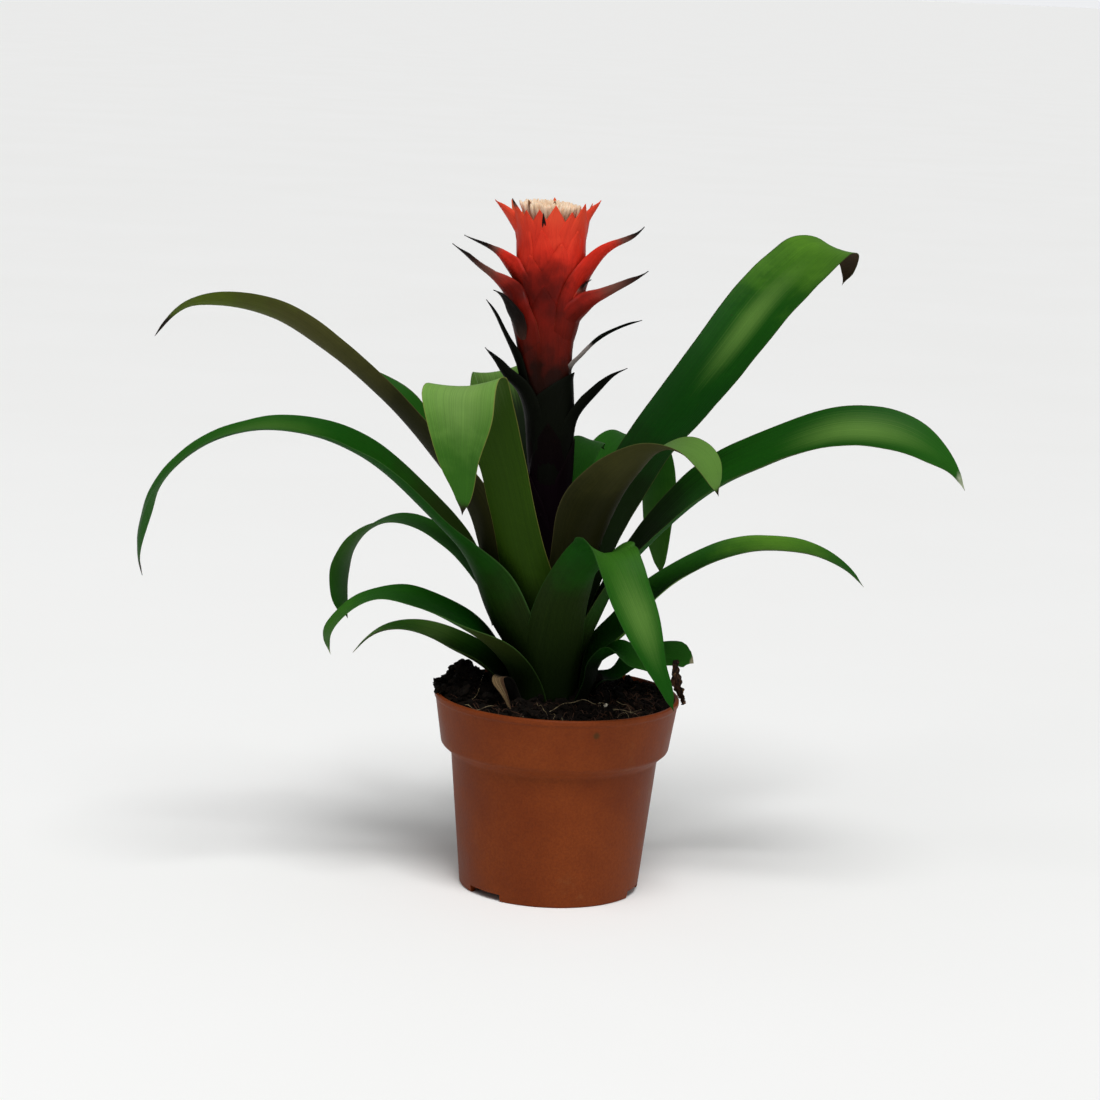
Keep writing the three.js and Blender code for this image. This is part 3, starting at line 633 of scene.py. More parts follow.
# The pot: profile points are [radius, height], from the middle of the underside round to the inside.
POT_PROFILE = [
    (0, 0), (27, 0), (28.5, 4), (40.6, 4), (41.2, 0), (43.8, 0), (50.5, 66), (55.6, 70.5),
    (59, 92.6), (59.7, 93.6), (59.7, 95.5), (59.2, 96), (58, 96), (57.6, 95.4), (54.4, 71),
    (49.3, 66.5), (42.9, 5.6), (28, 5.6), (25.8, 1.6), (0, 1.6),
]
NOTCH_ANGLES = (225, 345, 105)
NOTCH_HALF_WIDTH = 10.2
NOTCH_HEIGHT = 3.6
NOTCH_RADIUS = 43.8
DRAIN_RADIUS = 37.5
DRAIN_SIZE = (3.6, 13)
CORNER_RADIUS = 1.2

# Where the collar is stained, in metres.
COLLAR_STAIN = (0.0198, -0.0555, 0.0885)


def cutter(angle, radius, size, low, high):
    """A block that cuts the pot, size across the radius and along it, between two heights."""
    form = bmesh.new()
    bmesh.ops.create_cube(form, size=1)
    for vertex in form.verts:
        vertex.co = (
            (radius + vertex.co.x * size[0]) * MM,
            vertex.co.y * size[1] * MM,
            (low + (vertex.co.z + 0.5) * (high - low)) * MM,
        )
    mesh = bpy.data.meshes.new("cutter")
    form.to_mesh(mesh)
    form.free()
    block = new_object("cutter", mesh)
    block.rotation_euler.z = math.radians(angle)
    return block


def pot_material():
    r = Recipe("terracotta_plastic", IOR=1.18)
    clouds = r.noise(r.place(), 26, 5, 0.6)
    grain = r.noise(r.place(), 900, 2, 0.6)
    r.colour = r.blend(r.span(clouds, 0.3, 0.7), "6c2e0e", "7a3814")
    r.coat("4e220e", grain, 0.3, 0.75, 0.0, 0.35)
    dust = r.span(r.noise(r.place(), 60, 4, 0.7), 0.58, 0.8, 0.0, 0.3)
    r.lay("82502c", dust)
    stain = r.span(r.cells(r.place(), 34), 0.03, 0.055, 0.6, 0.0)
    stained = r.maths("MULTIPLY", stain, r.span(r.noise(r.place(), 17), 0.58, 0.66))
    r.lay("33291a", stained)
    algae = r.span(r.distance(r.place(), COLLAR_STAIN), 0.0008, 0.0026, 0.7, 0.0)
    r.lay("352c12", algae)
    r.bump((clouds, 0.0004), (grain, 0.00008))
    return r.finish(r.span(clouds, 0.3, 0.7, 0.42, 0.55))


def make_pot():
    form = Form()
    form.add(*lathe(rounded(POT_PROFILE, CORNER_RADIUS), 168))
    pot = form.piece("nursery_pot", pot_material(), "pot", ["pot"])
    blocks = []
    for angle in NOTCH_ANGLES:
        blocks.append(cutter(angle, NOTCH_RADIUS, (24, 2 * NOTCH_HALF_WIDTH), -1, NOTCH_HEIGHT))
        blocks.append(cutter(angle, DRAIN_RADIUS, DRAIN_SIZE, 2, 8))
    for block in blocks:
        cut = pot.modifiers.new("cut", "BOOLEAN")
        cut.operation = "DIFFERENCE"
        cut.solver = "EXACT"
        cut.object = block
    bpy.context.view_layer.update()
    whole = pot.evaluated_get(bpy.context.evaluated_depsgraph_get())
    mesh = bpy.data.meshes.new_from_object(whole)
    pot.modifiers.clear()
    pot.data = mesh
    mesh.polygons.foreach_set("use_smooth", [True] * len(mesh.polygons))
    mesh.set_sharp_from_angle(angle=math.radians(38))
    for block in blocks:
        bpy.data.objects.remove(block)


make_pot()


# The soil's heaps: (height, x and y of the middle, reach along x and y). The first is the one at the left.
SOIL_HEAPS = [(12.6, -46, 6, 11.5, 21), (4, 46, 30, 14, 16), (10, 20, 2, 4, 6)]
SOIL_MOUND = 2.5
CROWN_MOUND = 2.2
CLOD_COUNT = 900
HEAP_CLOD_COUNT = 460
RIM_CLOD_COUNT = 80
CROWN_CLOD_COUNT = 26


def soil_height(x, y):
    """The height of the packed soil, before its crumbs."""
    r = math.hypot(x, y)
    relief = SOIL_MOUND * (1 - float(smooth(r, 20, 56)))
    for height, middle_x, middle_y, reach_x, reach_y in SOIL_HEAPS:
        relief += height * math.exp(-(((x - middle_x) / reach_x) ** 2) - ((y - middle_y) / reach_y) ** 2)
    relief += 0.9 * math.sin(0.31 * x + 1) * math.sin(0.27 * y + 2) + 0.6 * math.sin(0.55 * x - 0.4 * y)
    relief += CROWN_MOUND * (1 - float(smooth(math.hypot(x - CROWN[0], y), 14, 26)))
    at_wall = float(smooth(r, SOIL_EDGE_RADIUS - 0.5, SOIL_EDGE_RADIUS))
    return SOIL_EDGE_HEIGHT + relief * (1 - 0.55 * at_wall)


def soil_surface(x, y):
    """The height of the crumbly top. Its roughness is noise at four scales, each with its depth."""
    rough = 0.0
    for scale, depth in ((0.11, 1.6), (0.27, 1.3), (0.6, 0.8), (1.3, 0.35)):
        rough += depth * noise_at(x * scale, y * scale, 3.7 + scale)
    at_wall = float(smooth(math.hypot(x, y), SOIL_EDGE_RADIUS - 4, SOIL_EDGE_RADIUS))
    return soil_height(x, y) + rough * (1 - 0.7 * at_wall)


def peat_material(name, dark, light, fleck):
    r = Recipe(name, Specular_IOR_Level=0.1)
    place = r.place()
    fine = r.noise(place, 420, 5, 0.7)
    patches = r.noise(place, 45, 3, 0.6)
    r.colour = r.blend(r.span(fine, 0.36, 0.68), dark, light)
    r.coat("060403", patches, 0.42, 0.7, 0.0, 0.5)
    flecks = r.span(r.noise(r.stretched(place, (1.0, 2.2, 1.0)), 700, 2, 0.5), 0.66, 0.76, 0.0, 0.8)
    r.lay(fleck, flecks)
    r.bump((patches, 0.0006), (fine, 0.0008))
    return r.finish(0.93)


def make_soil():
    """The soil's body is turned, and the points of its top then take the height of the surface."""
    rings = 96
    under = [(0, 2), (25, 2), (27.4, 6), (42.1, 6), (48.5, 67), (53.6, 71.7), (56.2, 88)]
    top = [(SOIL_EDGE_RADIUS * (1 - k / rings), None) for k in range(rings + 1)]
    points, faces = lathe(under + top, 220)
    form = Form()
    form.add([(x, y, soil_surface(x, y) if z is None else z) for x, y, z in points], faces)
    form.piece("peat", peat_material("peat", "0a0705", "19110b", "3c2a1b"), "soil", ["soil"])


def clod_form(size, seed, detail=2):
    """A rough lump round the origin."""
    form = bmesh.new()
    bmesh.ops.create_icosphere(form, subdivisions=detail, radius=1)
    stretch = (random.uniform(0.7, 1.3), random.uniform(0.7, 1.2), random.uniform(0.5, 0.9))
    spin = Quaternion((random.gauss(0, 1), random.gauss(0, 1), random.gauss(0, 1)), random.uniform(0, 6.28))
    points = []
    for vertex in form.verts:
        way = vertex.co.copy()
        swell = 1 + 0.5 * noise.noise(way * 1.4 + Vector((seed, 0, 0)))
        swell += 0.4 * noise.noise(way * 3.1 + Vector((0, seed, 0)))
        spot = Vector((way.x * stretch[0], way.y * stretch[1], way.z * stretch[2])) * (swell * size)
        points.append(tuple(spin @ spot))
    faces = [[v.index for v in face.verts] for face in form.faces]
    form.free()
    return np.array(points), faces


def soil_spot(inner=0.0, outer=SOIL_EDGE_RADIUS - 2.5):
    """A random place on the soil, between two distances from the pot's axis."""
    radius = math.sqrt(random.uniform(inner**2, outer**2))
    turn = random.uniform(0, 2 * math.pi)
    return radius * math.cos(turn), radius * math.sin(turn)


def make_clods():
    crumbs, heap = Form(), Form()
    for k in range(CLOD_COUNT):
        x, y = soil_spot()
        size = min(3.2, 0.8 * math.exp(abs(random.gauss(0, 0.55))))
        points, faces = clod_form(size, k)
        crumbs.add(points + (x, y, soil_surface(x, y) + 0.25 * size), faces)

    def pile(x, y, size, seed, low, high, ground=soil_surface):
        """Add a clod to the heap, its middle between two shares of its size above the ground."""
        points, faces = clod_form(size, seed)
        heap.add(points + (x, y, ground(x, y) + random.uniform(low, high) * size), faces)

    for k in range(HEAP_CLOD_COUNT):
        x, y = SOIL_HEAPS[0][1] + random.gauss(0, 7.5), 5 + random.gauss(0, 16)
        if math.hypot(x, y) > SOIL_EDGE_RADIUS - 2:
            continue
        pile(x, y, min(3.4, 0.8 * math.exp(abs(random.gauss(0, 0.6)))), 1000 + k, 0.1, 0.7)
    # Some lie on the pot's rim beside the heap, and a few on the small heap right of the crown.
    for k in range(RIM_CLOD_COUNT):
        turn = math.radians(random.gauss(178, 9))
        radius, size = random.uniform(55, 59.4), random.uniform(0.7, 2.2)
        x, y = radius * math.cos(turn), radius * math.sin(turn)
        pile(x, y, size, 2000 + k, 0.2, 1.6, lambda x, y: RIM_HEIGHT)
    for k in range(CROWN_CLOD_COUNT):
        x, y, size = random.gauss(21.5, 2.2), random.gauss(2, 3.5), random.uniform(0.6, 1.8)
        pile(x, y, size, 2500 + k, 0.1, 0.6)
    material = peat_material("peat_crumb", "070503", "140d08", "3a281a")
    crumbs.piece("peat_crumbs", material, "soil", smooth_shaded=False)
    heap.piece("peat_heap", material, "soil", smooth_shaded=False)


def make_grains():
    """White perlite grains: a few at the right front, as in the photograph, and some elsewhere."""
    form = Form()
    spots = [(21.2, -13, 0.9), (22.4, -16, 0.8), (20.8, -10.6, 0.6), (23.8, -18.4, 0.9), (27, -9, 0.5)]
    spots += [(*soil_spot(30), random.uniform(0.4, 0.9)) for _ in range(9)]
    for k, (x, y, size) in enumerate(spots):
        points, faces = clod_form(size, 3000 + k)
        form.add(points + (x, y, soil_surface(x, y) + 0.7 * size), faces)
    material = patchy_material("perlite", 0.3, (600, 3, 0.6), (0.4, 0.7), ("d6d0bc", "8a7f68"), 0.85)
    form.piece("perlite_grains", material, "soil", smooth_shaded=False)


def thread(start, heading, length, bend, steps=22, lift=0.6):
    """A wandering path that lies on the soil and rises a little between its ends."""
    x, y = start
    path = []
    for k in range(steps):
        t = k / (steps - 1)
        rise = lift * (1 + 2.4 * math.sin(math.pi * t) ** 2)
        path.append((x, y, soil_surface(x, y) + rise))
        heading += bend * random.uniform(-0.4, 1.0) / steps
        x += math.cos(heading) * length / steps
        y += math.sin(heading) * length / steps
        if math.hypot(x, y) > SOIL_EDGE_RADIUS - 2:
            break
    return path


def make_threads():
    """Pale root hairs, and the brown fibres of the peat, thickest at the right."""
    hairs, fibres = Form(), Form()
    laid = [[(-3, -39), (0, -31), (5, -24.5), (10, -19.5), (16, -17.5), (23, -21)],
            [(-9.5, -22), (-7, -31), (-4, -44)],
            [(-36.5, 8), (-37.5, -9), (-39.5, -19), (-42, -31)],
            [(-44, -30), (-37, -33), (-30, -31)],
            [(29, -14), (35, -20), (37, -30), (44, -33)],
            [(27, -28), (33, -24), (41, -26)]]
    for spots in laid:
        knots = np.linspace(0, 1, len(spots))
        path = [(x, y, soil_height(x, y) + 2.4) for x, y in cubic(knots, spots, np.linspace(0, 1, 26))]
        hairs.add(*tube(path, np.linspace(0.19, 0.1, len(path)), 5))
    for _ in range(14):
        path = thread(soil_spot(24), random.uniform(0, 6.28), random.uniform(6, 20), random.uniform(-2, 2))
        if len(path) > 4:
            hairs.add(*tube(path, np.linspace(random.uniform(0.1, 0.16), 0.06, len(path)), 4))
    for k in range(420):
        x, y = soil_spot(18)
        if k % 2:
            x, y = 38 + random.gauss(0, 9), -14 + random.gauss(0, 20)
        if math.hypot(x, y) > SOIL_EDGE_RADIUS - 3:
            continue
        path = thread((x, y), random.uniform(0, 6.28), random.uniform(3, 11), random.uniform(-3, 3), 9, 0.5)
        if len(path) > 3:
            width = random.uniform(0.12, 0.36)
            fibres.add(*tube(path, np.linspace(width, width * 0.5, len(path)), 4))
    material = patchy_material("root_hair", 0.4, (300, 2, 0.5), (0.4, 0.65), ("8c7c5c", "4c3e2a"), 0.6)
    hairs.piece("root_hairs", material, "soil")
    material = patchy_material("peat_fibre", 0.25, (110, 3, 0.6), (0.35, 0.65), ("1c110a", "42291a"), 0.85)
    fibres.piece("peat_fibres", material, "soil")


SCALE_THICKNESS = 0.35
STUB_THICKNESS = 0.5

# How the withered scale differs from its plain form: (how far along, move in x, y and z, width).
SCALE_SHAPE = [(0, 0, 0, 0, 1.05), (0.3, 0, 0, 1, 1.05), (0.42, 1, 0, 3.5, 1), (0.52, 0.3, 0, 5, 0.9),
               (0.65, 2, 1.5, 3.1, 0.6), (0.79, 1.7, 5, 0.8, 0.42), (1, -2.4, 9, -0.2, 0.3)]


def make_scale():
    """The withered scale at the front left: a dry pointed leaf end with pale ribs, leaning on the soil."""
    lines, along = middle_lines("leaf_dry_scale", 46)
    v = np.linspace(-1, 1, 15)
    grid = cubic(np.linspace(-1, 1, 5), lines.transpose(1, 0, 2), v).transpose(1, 0, 2)
    centre = grid[:, 7][:, None]
    share = along / along[-1]
    shape = np.array(SCALE_SHAPE)
    moved = cubic(shape[:, 0], shape[:, 1:], share)
    grid = centre + (grid - centre) * moved[:, 3][:, None, None] + moved[:, None, :3]
    normal = normals(grid)
    for i, s in enumerate(share):
        for j, w in enumerate(v):
            crease = 0.5 * noise_at(s * 5, w * 1.5, 8.0) + 0.22 * math.sin(w * 11) * s
            grid[i, j] += normal[i, j] * crease
    size = grid.shape[:2]
    form = Form()
    form.add(*thin_solid(grid, np.full(size, SCALE_THICKNESS)), across=both_sides(v[None], size),
             share=both_sides(share[:, None], size))
    r = Recipe("withered_leaf", IOR=1.25)
    across, share = r.number("across"), r.number("share")
    ribs = r.noise(r.stretched(r.vector(across, share), (9, 2.2, 1)), 1.0, 3, 0.6)
    r.colour = r.blend(r.span(ribs, 0.38, 0.64), "40301e", "86704e")
    # Painted shade: darker brown towards the margin at across 1, the side of the scale turned from the
    # light.
    r.coat("3c2416", across, 0.0, 0.8, 0.0, 0.8)
    r.coat("0f0d07", share, 0.46, 0.54, 1.0, 0.0)
    r.bump((ribs, 0.0005))
    form.piece("withered_scale", r.finish(0.75), "dry_leaf", ["leaf_dry_scale"])


def make_spur():
    """The dark withered strip at the right: it hangs from the curled leaf's end over the pot's rim."""
    rows, columns = 44, 11
    spine = [(56.4, 7, 113.5), (56.6, 4, 108), (57.6, 1, 102.6), (59.2, -2, 99), (60.6, -4.5, 96.6),
             (60.6, -6.5, 94.6)]
    share = np.linspace(0, 1, rows)
    half = np.interp(share, [0, 0.3, 0.55, 1], [1.5, 2.4, 2.8, 1.0])
    path = cubic(np.linspace(0, 1, len(spine)), spine, share)
    facing = smooth(share, 0.15, 0.6)
    grid = np.zeros((rows, columns, 3))
    for i in range(rows):
        outward = np.array([path[i, 0], path[i, 1], 0]) / math.hypot(path[i, 0], path[i, 1])
        across = unit(np.array([1 - 0.6 * facing[i], 0.2 - 0.9 * facing[i], 0.25]))
        for j in range(columns):
            w = 2 * j / (columns - 1) - 1
            crumple = abs(noise_at(i * 0.21, w * 1.7, 21.0))
            ragged = 1 + 0.5 * noise_at(i * 0.35, 3 * np.sign(w), 4.0)
            sideways = across * half[i] * w * ragged
            grid[i, j] = path[i] + sideways + outward * (0.3 + 2.2 * crumple)
    form = Form()
    form.add(*thin_solid(grid, np.full((rows, columns), STUB_THICKNESS)))
    r = Recipe("withered_stub", Specular_IOR_Level=0.15)
    ribs = r.noise(r.stretched(r.place(), (900, 900, 120)), 1.0, 3, 0.6)
    r.colour = r.blend(r.span(ribs, 0.4, 0.62), "140c07", "3c2616")
    r.coat("7a5c3e", r.noise(r.place(), 500, 2, 0.5), 0.6, 0.72, 0.0, 0.8)
    r.bump((ribs, 0.0006))
    form.piece("withered_stub", r.finish(0.85), "dry_leaf")


make_soil()
make_clods()
make_grains()
make_threads()
make_scale()
make_spur()


# A shaded patch low on the front of the head, in metres.
SHADED_PATCH = (-0.0165, -0.013, 0.294)
SHADED_REACH = 0.027

# What lying bracts rest on: (distance from the stem's axis, height above the crown).
HEAD_SKIN = [(6.6, 20), (9, 60), (10.2, 100), (10.6, 140), (11.1, 150), (11.8, 160), (12.4, 170),
             (13.4, 180), (14.4, 190), (15.0, 200), (15.4, 212), (15.5, 224), (16.2, 233), (17.2, 240)]

# The bracts that the photograph shows well. A bract is (turn, where its dark end starts, where it is
# darkest, stations), and a station is (reach from the stem's axis, height, half width, trough's radius).
RIGHT_TOP = (346, 0.72, 0.97, [
    (11, 172, 9, 11.5), (14.6, 184, 16, 15), (16.4, 198, 17, 16), (18, 207, 15, 15), (22.8, 215.9, 9.4, 5.2),
    (27.9, 221.9, 7.2, 4), (33.4, 225.8, 4.8, 3), (40.4, 229.8, 3.6, 2.5), (45.7, 235.5, 0.2, 2)])
RIGHT_LOW = (340, 0.5, 1.02, [
    (10.8, 156, 9, 10.8), (12.6, 172, 15, 12.8), (14.8, 187, 16, 14.5), (19.4, 193.5, 13, 10),
    (22.9, 197.3, 10.2, 5), (28.1, 200.8, 7.5, 4), (34.9, 205.2, 5.4, 3.2), (41.6, 209.4, 3.8, 2.5),
    (49.4, 215.2, 0.2, 2)])
LEFT_TOP = (188, 0.66, 0.85, [
    (12.4, 176, 9, 12), (14.6, 190, 15, 14.5), (15.6, 201, 16, 15.5), (18.1, 208.3, 13, 13),
    (21.4, 213.2, 10.2, 5), (24.7, 217.5, 6.8, 4), (28.3, 220.5, 4.1, 3), (34, 223.6, 2.7, 3),
    (41.4, 227.2, 0.35, 2)])
LEFT_LOW = (198, 0.5, 0.95, [
    (11.5, 160, 9, 11), (13.4, 176, 15, 13.5), (16.4, 186, 16, 15.5), (19.5, 194, 14, 13),
    (22.1, 200.3, 11.4, 5.5), (26.3, 205.4, 7.7, 4), (29.8, 208.6, 4.8, 3), (35.7, 213, 3.9, 3),
    (42, 218.4, 3, 2.5), (48.5, 223.7, 0.25, 2)])
LEFT_HOOK = (220, -1.1, 0.7, [
    (11.5, 175, 1.5, 13), (14.8, 180.5, 3.2, 12), (17.4, 185.4, 5.4, 11), (21, 190.6, 6.3, 9.5),
    (24.2, 195.2, 4.7, 7), (27.4, 199, 3, 5), (30.4, 201.6, 2, 4), (34.2, 203.4, 0.25, 2)])
RIGHT_HOOK = (335, 0.6, 0.85, [
    (13.5, 186, 6, 14), (15.5, 194, 7, 15.5), (16.9, 201, 6.5, 16), (18, 205.5, 3.5, 9),
    (19.6, 207.6, 1.6, 3), (21.6, 209.2, 0.2, 2)])
RING_LEFT = (186, 0.96, 1.1, [
    (13, 196, 7, 13.5), (15.2, 208, 12, 15.2), (15.2, 219, 12, 15.2), (15.7, 226, 12, 14),
    (17.7, 230.9, 11, 10), (20.6, 236, 8.5, 6), (24.3, 241.4, 3.6, 3), (26.6, 244.4, 0.2, 2)])
RING_RIGHT = (352, 0.98, 1.1, [
    (13, 196, 7, 13.5), (16, 208, 12, 16), (16.4, 221, 12, 16), (16.9, 229.5, 11, 13), (17.9, 234.3, 9, 9),
    (19.8, 238.8, 6.5, 5.5), (22.5, 243.5, 3.2, 3), (24, 246.4, 0.2, 2)])
RING_DARK_TIP = (215, 0.86, 0.98, [
    (13.5, 205, 5, 14), (16, 214, 7, 16), (16.6, 224, 7, 16), (17.2, 231, 6, 14), (18.6, 237.3, 4, 8),
    (20.3, 242, 1.8, 4), (22, 246, 0.2, 2)])

LEFT_STEM_HIGH = (193, 0.0, 0.5, [
    (11, 136, 6, 10.8), (12.3, 152, 7.5, 12), (13.2, 163, 7.5, 13), (15.6, 172, 6, 9), (18.6, 178, 3.8, 5),
    (22, 184, 3.2, 4), (25.6, 190.4, 2.8, 3.5), (28.3, 194.4, 2, 3), (30.4, 197.2, 0.25, 2)])
LEFT_STEM_LOW = (190, 0.0, 0.5, [
    (10.2, 118, 8, 10), (11.2, 134, 13, 11), (12.3, 146, 13, 12), (16.2, 155.5, 10.5, 8),
    (20.8, 161, 8, 5.5), (24, 166.8, 5.5, 4), (26.6, 170.8, 3, 3), (29.1, 174.2, 0.25, 2)])
RIGHT_STEM_HIGH = (350, 0.0, 0.5, [
    (10.4, 140, 8, 10.6), (11, 154, 9, 11.4), (12.6, 166, 5, 7), (17.6, 171.7, 3.5, 3.4),
    (22.7, 177, 3.5, 3), (27.6, 181.3, 3.3, 2.5), (33.7, 185.4, 2.6, 2.5), (41, 189, 2, 2.5),
    (45.7, 190.9, 0.25, 2)])
RIGHT_STEM_LOW = (345, 0.0, 0.5, [
    (10, 108, 8, 10), (10.8, 122, 13, 11), (11.6, 134, 11, 11), (13.7, 141.5, 8, 7), (20.8, 150.8, 6.6, 4),
    (28.3, 158.4, 5.2, 3.5), (34, 164, 3, 3), (40.5, 168, 0.25, 2)])
FRONT_CLASP = (335, 0.0, 0.5, [
    (9.6, 96, 16, 10), (10.9, 125, 21, 11), (11.6, 140, 23, 11.6), (11.9, 149, 23, 11.9),
    (12.2, 154, 18.5, 12.2), (12.6, 158, 12.5, 11.6), (13.4, 161.5, 5.5, 8), (15, 164.3, 0.3, 3)])

# The other bracts follow a pattern of (share of the height, share of the way out to the tip's reach,
# share of the half width, radius of the trough). A radius of 0 is the stem's own.
# This one stands out from the stem.
STANDING = [(0, 0, 0.5, 0), (0.19, 0, 0.9, 0), (0.4, 0.02, 1, 0), (0.54, 0.06, 0.88, 0),
            (0.68, 0.24, 0.56, 5.2), (0.78, 0.43, 0.42, 4), (0.85, 0.61, 0.28, 3),
            (0.92, 0.83, 0.2, 2.5), (1, 1, 0.012, 2)]
# This one lies on the stem up to its tip.
LYING = [(0, 0, 0.6, 0), (0.25, 0, 0.95, 0), (0.5, 0.1, 1, 0), (0.7, 0.3, 0.78, 0), (0.86, 0.6, 0.42, 10),
         (1, 1, 0.02, 5)]

# Thicknesses along the middle of a bract.
BRACT_ROOT = 0.9
BRACT_TIP = 0.4

# Lists of bracts in the order in which they are added: a table above, or what patterned takes.
STEM_BRACTS = [
    (LYING, 250, 40, 96, 11.5, 12), (LYING, 60, 50, 108, 12, 12), (LYING, 200, 60, 118, 12, 13),
    (LYING, 345, 70, 132, 12.4, 14), (STANDING, 110, 84, 150, 26, 12), (LYING, 268, 84, 140, 12.3, 13),
    LEFT_STEM_LOW, RIGHT_STEM_LOW, (STANDING, 70, 118, 180, 30, 12), LEFT_STEM_HIGH, FRONT_CLASP,
    (STANDING, 130, 140, 196, 24, 12)]
HEAD_BRACTS = [
    (LYING, 262, 150, 205, 16.6, 14), (LYING, 312, 154, 210, 16.8, 13),
    (STANDING, 100, 156, 208, 34, 14, 0.5, 0.9), LEFT_HOOK, RIGHT_LOW, LEFT_LOW,
    (LYING, 236, 166, 220, 17.2, 13), (LYING, 288, 172, 226, 17.3, 14),
    (STANDING, 60, 170, 222, 30, 14, 0.6, 0.95), RIGHT_HOOK, RIGHT_TOP, LEFT_TOP,
    (STANDING, 122, 174, 230, 30, 14, 0.6, 0.95), (LYING, 256, 184, 232, 17.4, 13),
    (LYING, 318, 184, 232, 17.6, 12), (STANDING, 82, 184, 236, 28, 13, 0.8, 1.0),
    (LYING, 30, 180, 230, 18, 13), (LYING, 150, 182, 232, 18, 13), RING_LEFT, RING_RIGHT, RING_DARK_TIP]
# The ring round the top, at the front and then at the back: (turn, tip, reach, half width).
FRONT_RING = [(232, 241, 18.6, 8), (254, 241.6, 18.4, 8.5), (278, 244, 18.8, 8.5), (303, 241, 18.8, 8.5),
              (322, 245, 20.8, 8.5)]
BACK_RING = [(20, 244, 21, 8), (42, 242, 19, 7), (62, 243, 20, 7), (86, 245, 22, 8), (108, 242, 19, 7),
             (130, 243, 20, 7), (154, 244, 21, 8)]
HEAD_BRACTS += [(LYING, turn, 204, *rest) for turn, *rest in FRONT_RING]
HEAD_BRACTS.append((LYING, 260, 216, 240.4, 18.9, 1.6, 0.4, 0.8))
HEAD_BRACTS += [(LYING, turn, 204, *rest) for turn, *rest in BACK_RING]


def head_radius(z):
    return float(np.interp(z, [p[1] for p in HEAD_SKIN], [p[0] for p in HEAD_SKIN]))


def patterned(pattern, turn, foot, tip, reach, half, dark_from=1.0, darkest=1.1):
    """A bract in the form of the tables above, from a pattern and its own sizes."""
    stations = []
    for height, stray, wide, bend in pattern:
        z = foot + (tip - foot) * height
        r = head_radius(z) - 1.2 * (1 - smooth(height, 0, 0.3))
        stations.append((r + (reach - r) * stray, z, half * wide, bend or r))
    return turn, dark_from, darkest, stations


def stem_middle(z):
    """The stem leans to the left, and a little more so below the head."""
    return np.array([-STEM_LEAN * z - 2.4 * math.exp(-(((z - 174) / 22) ** 2)), 0.0, z])


def add_bract(form, bract, seed, pale=None):
    """A bract clasps the stem, then leaves it as a trough that tapers to a fine point.

    A stretch of it may be paler: pale holds the shares of its length where that starts, is full, wanes
    and is gone.
    """
    turn, dark_from, darkest, stations = bract if len(bract) == 4 else patterned(*bract)
    rows, columns = 46, 17
    outward = np.array([math.cos(math.radians(turn)), math.sin(math.radians(turn)), 0])
    side = np.cross((0, 0, 1), outward)
    spine = np.array([stem_middle(z) + outward * r for r, z, half, bend in stations])
    knots = distances(spine)
    knots /= knots[-1]
    u = np.linspace(0, 1, rows)
    path = cubic(knots, spine, u)
    half = np.interp(u, knots, [s[2] for s in stations])[:, None]
    bend = np.interp(u, knots, [s[3] for s in stations])[:, None]
    along = unit(np.gradient(path, axis=0))
    out = np.cross(side, along)
    out *= np.sign(out @ outward)[:, None]
    # Across, a bract is an arc and then straight up to its margins.
    v = np.linspace(-1, 1, columns)
    cap = 1.25 + 1.1 * smooth(bend, 5, 10)
    reach = half * abs(v)[None]
    angle = np.minimum(reach / bend, cap)
    straight = reach - bend * angle
    sideways = (bend * np.sin(angle) + straight * np.cos(angle)) * np.sign(v)
    inward = bend * (1 - np.cos(angle)) + straight * np.sin(angle)
    grid = path[:, None] + side * sideways[..., None] - out[:, None] * inward[..., None]
    free = smooth(u, 0.4, 0.6) * (1 - u) * 3
    for i in range(rows):
        for j in range(columns):
            wave = noise_at(u[i] * 3, v[j] * 1.2, seed * 2.7)
            grid[i, j] += out[i] * 0.6 * wave * free[i]
    size = (rows, columns)
    thick = (BRACT_ROOT + (BRACT_TIP - BRACT_ROOT) * u)[:, None] * (1 - 0.6 * abs(v)[None] ** 3)
    points, faces = thin_solid(grid, thick)
    faded = smooth(u, *pale[:2]) * (1 - smooth(u, *pale[2:])) if pale else 0 * u
    form.add(
        points,
        faces,
        rise=points[:, 2],
        share=both_sides(u[:, None], size),
        across=both_sides(v[None], size),
        dark=both_sides(smooth(u, dark_from, darkest)[:, None], size),
        faded=both_sides(faded[:, None], size),
        under=np.repeat([0.0, 1.0], rows * columns),
        tint=random.uniform(-1, 1),
    )


def add_core(form, profile):
    """The turned body that bracts stand on, with the numbers that their material reads."""
    points, faces = lathe(profile, 64, lambda z: stem_middle(z)[:2])
    plain = {"across": 0.0, "dark": 0.0, "faded": 0.0, "tint": 0.0}
    form.add(points, faces, rise=[p[2] for p in points], share=0.3, under=1.0, **plain)


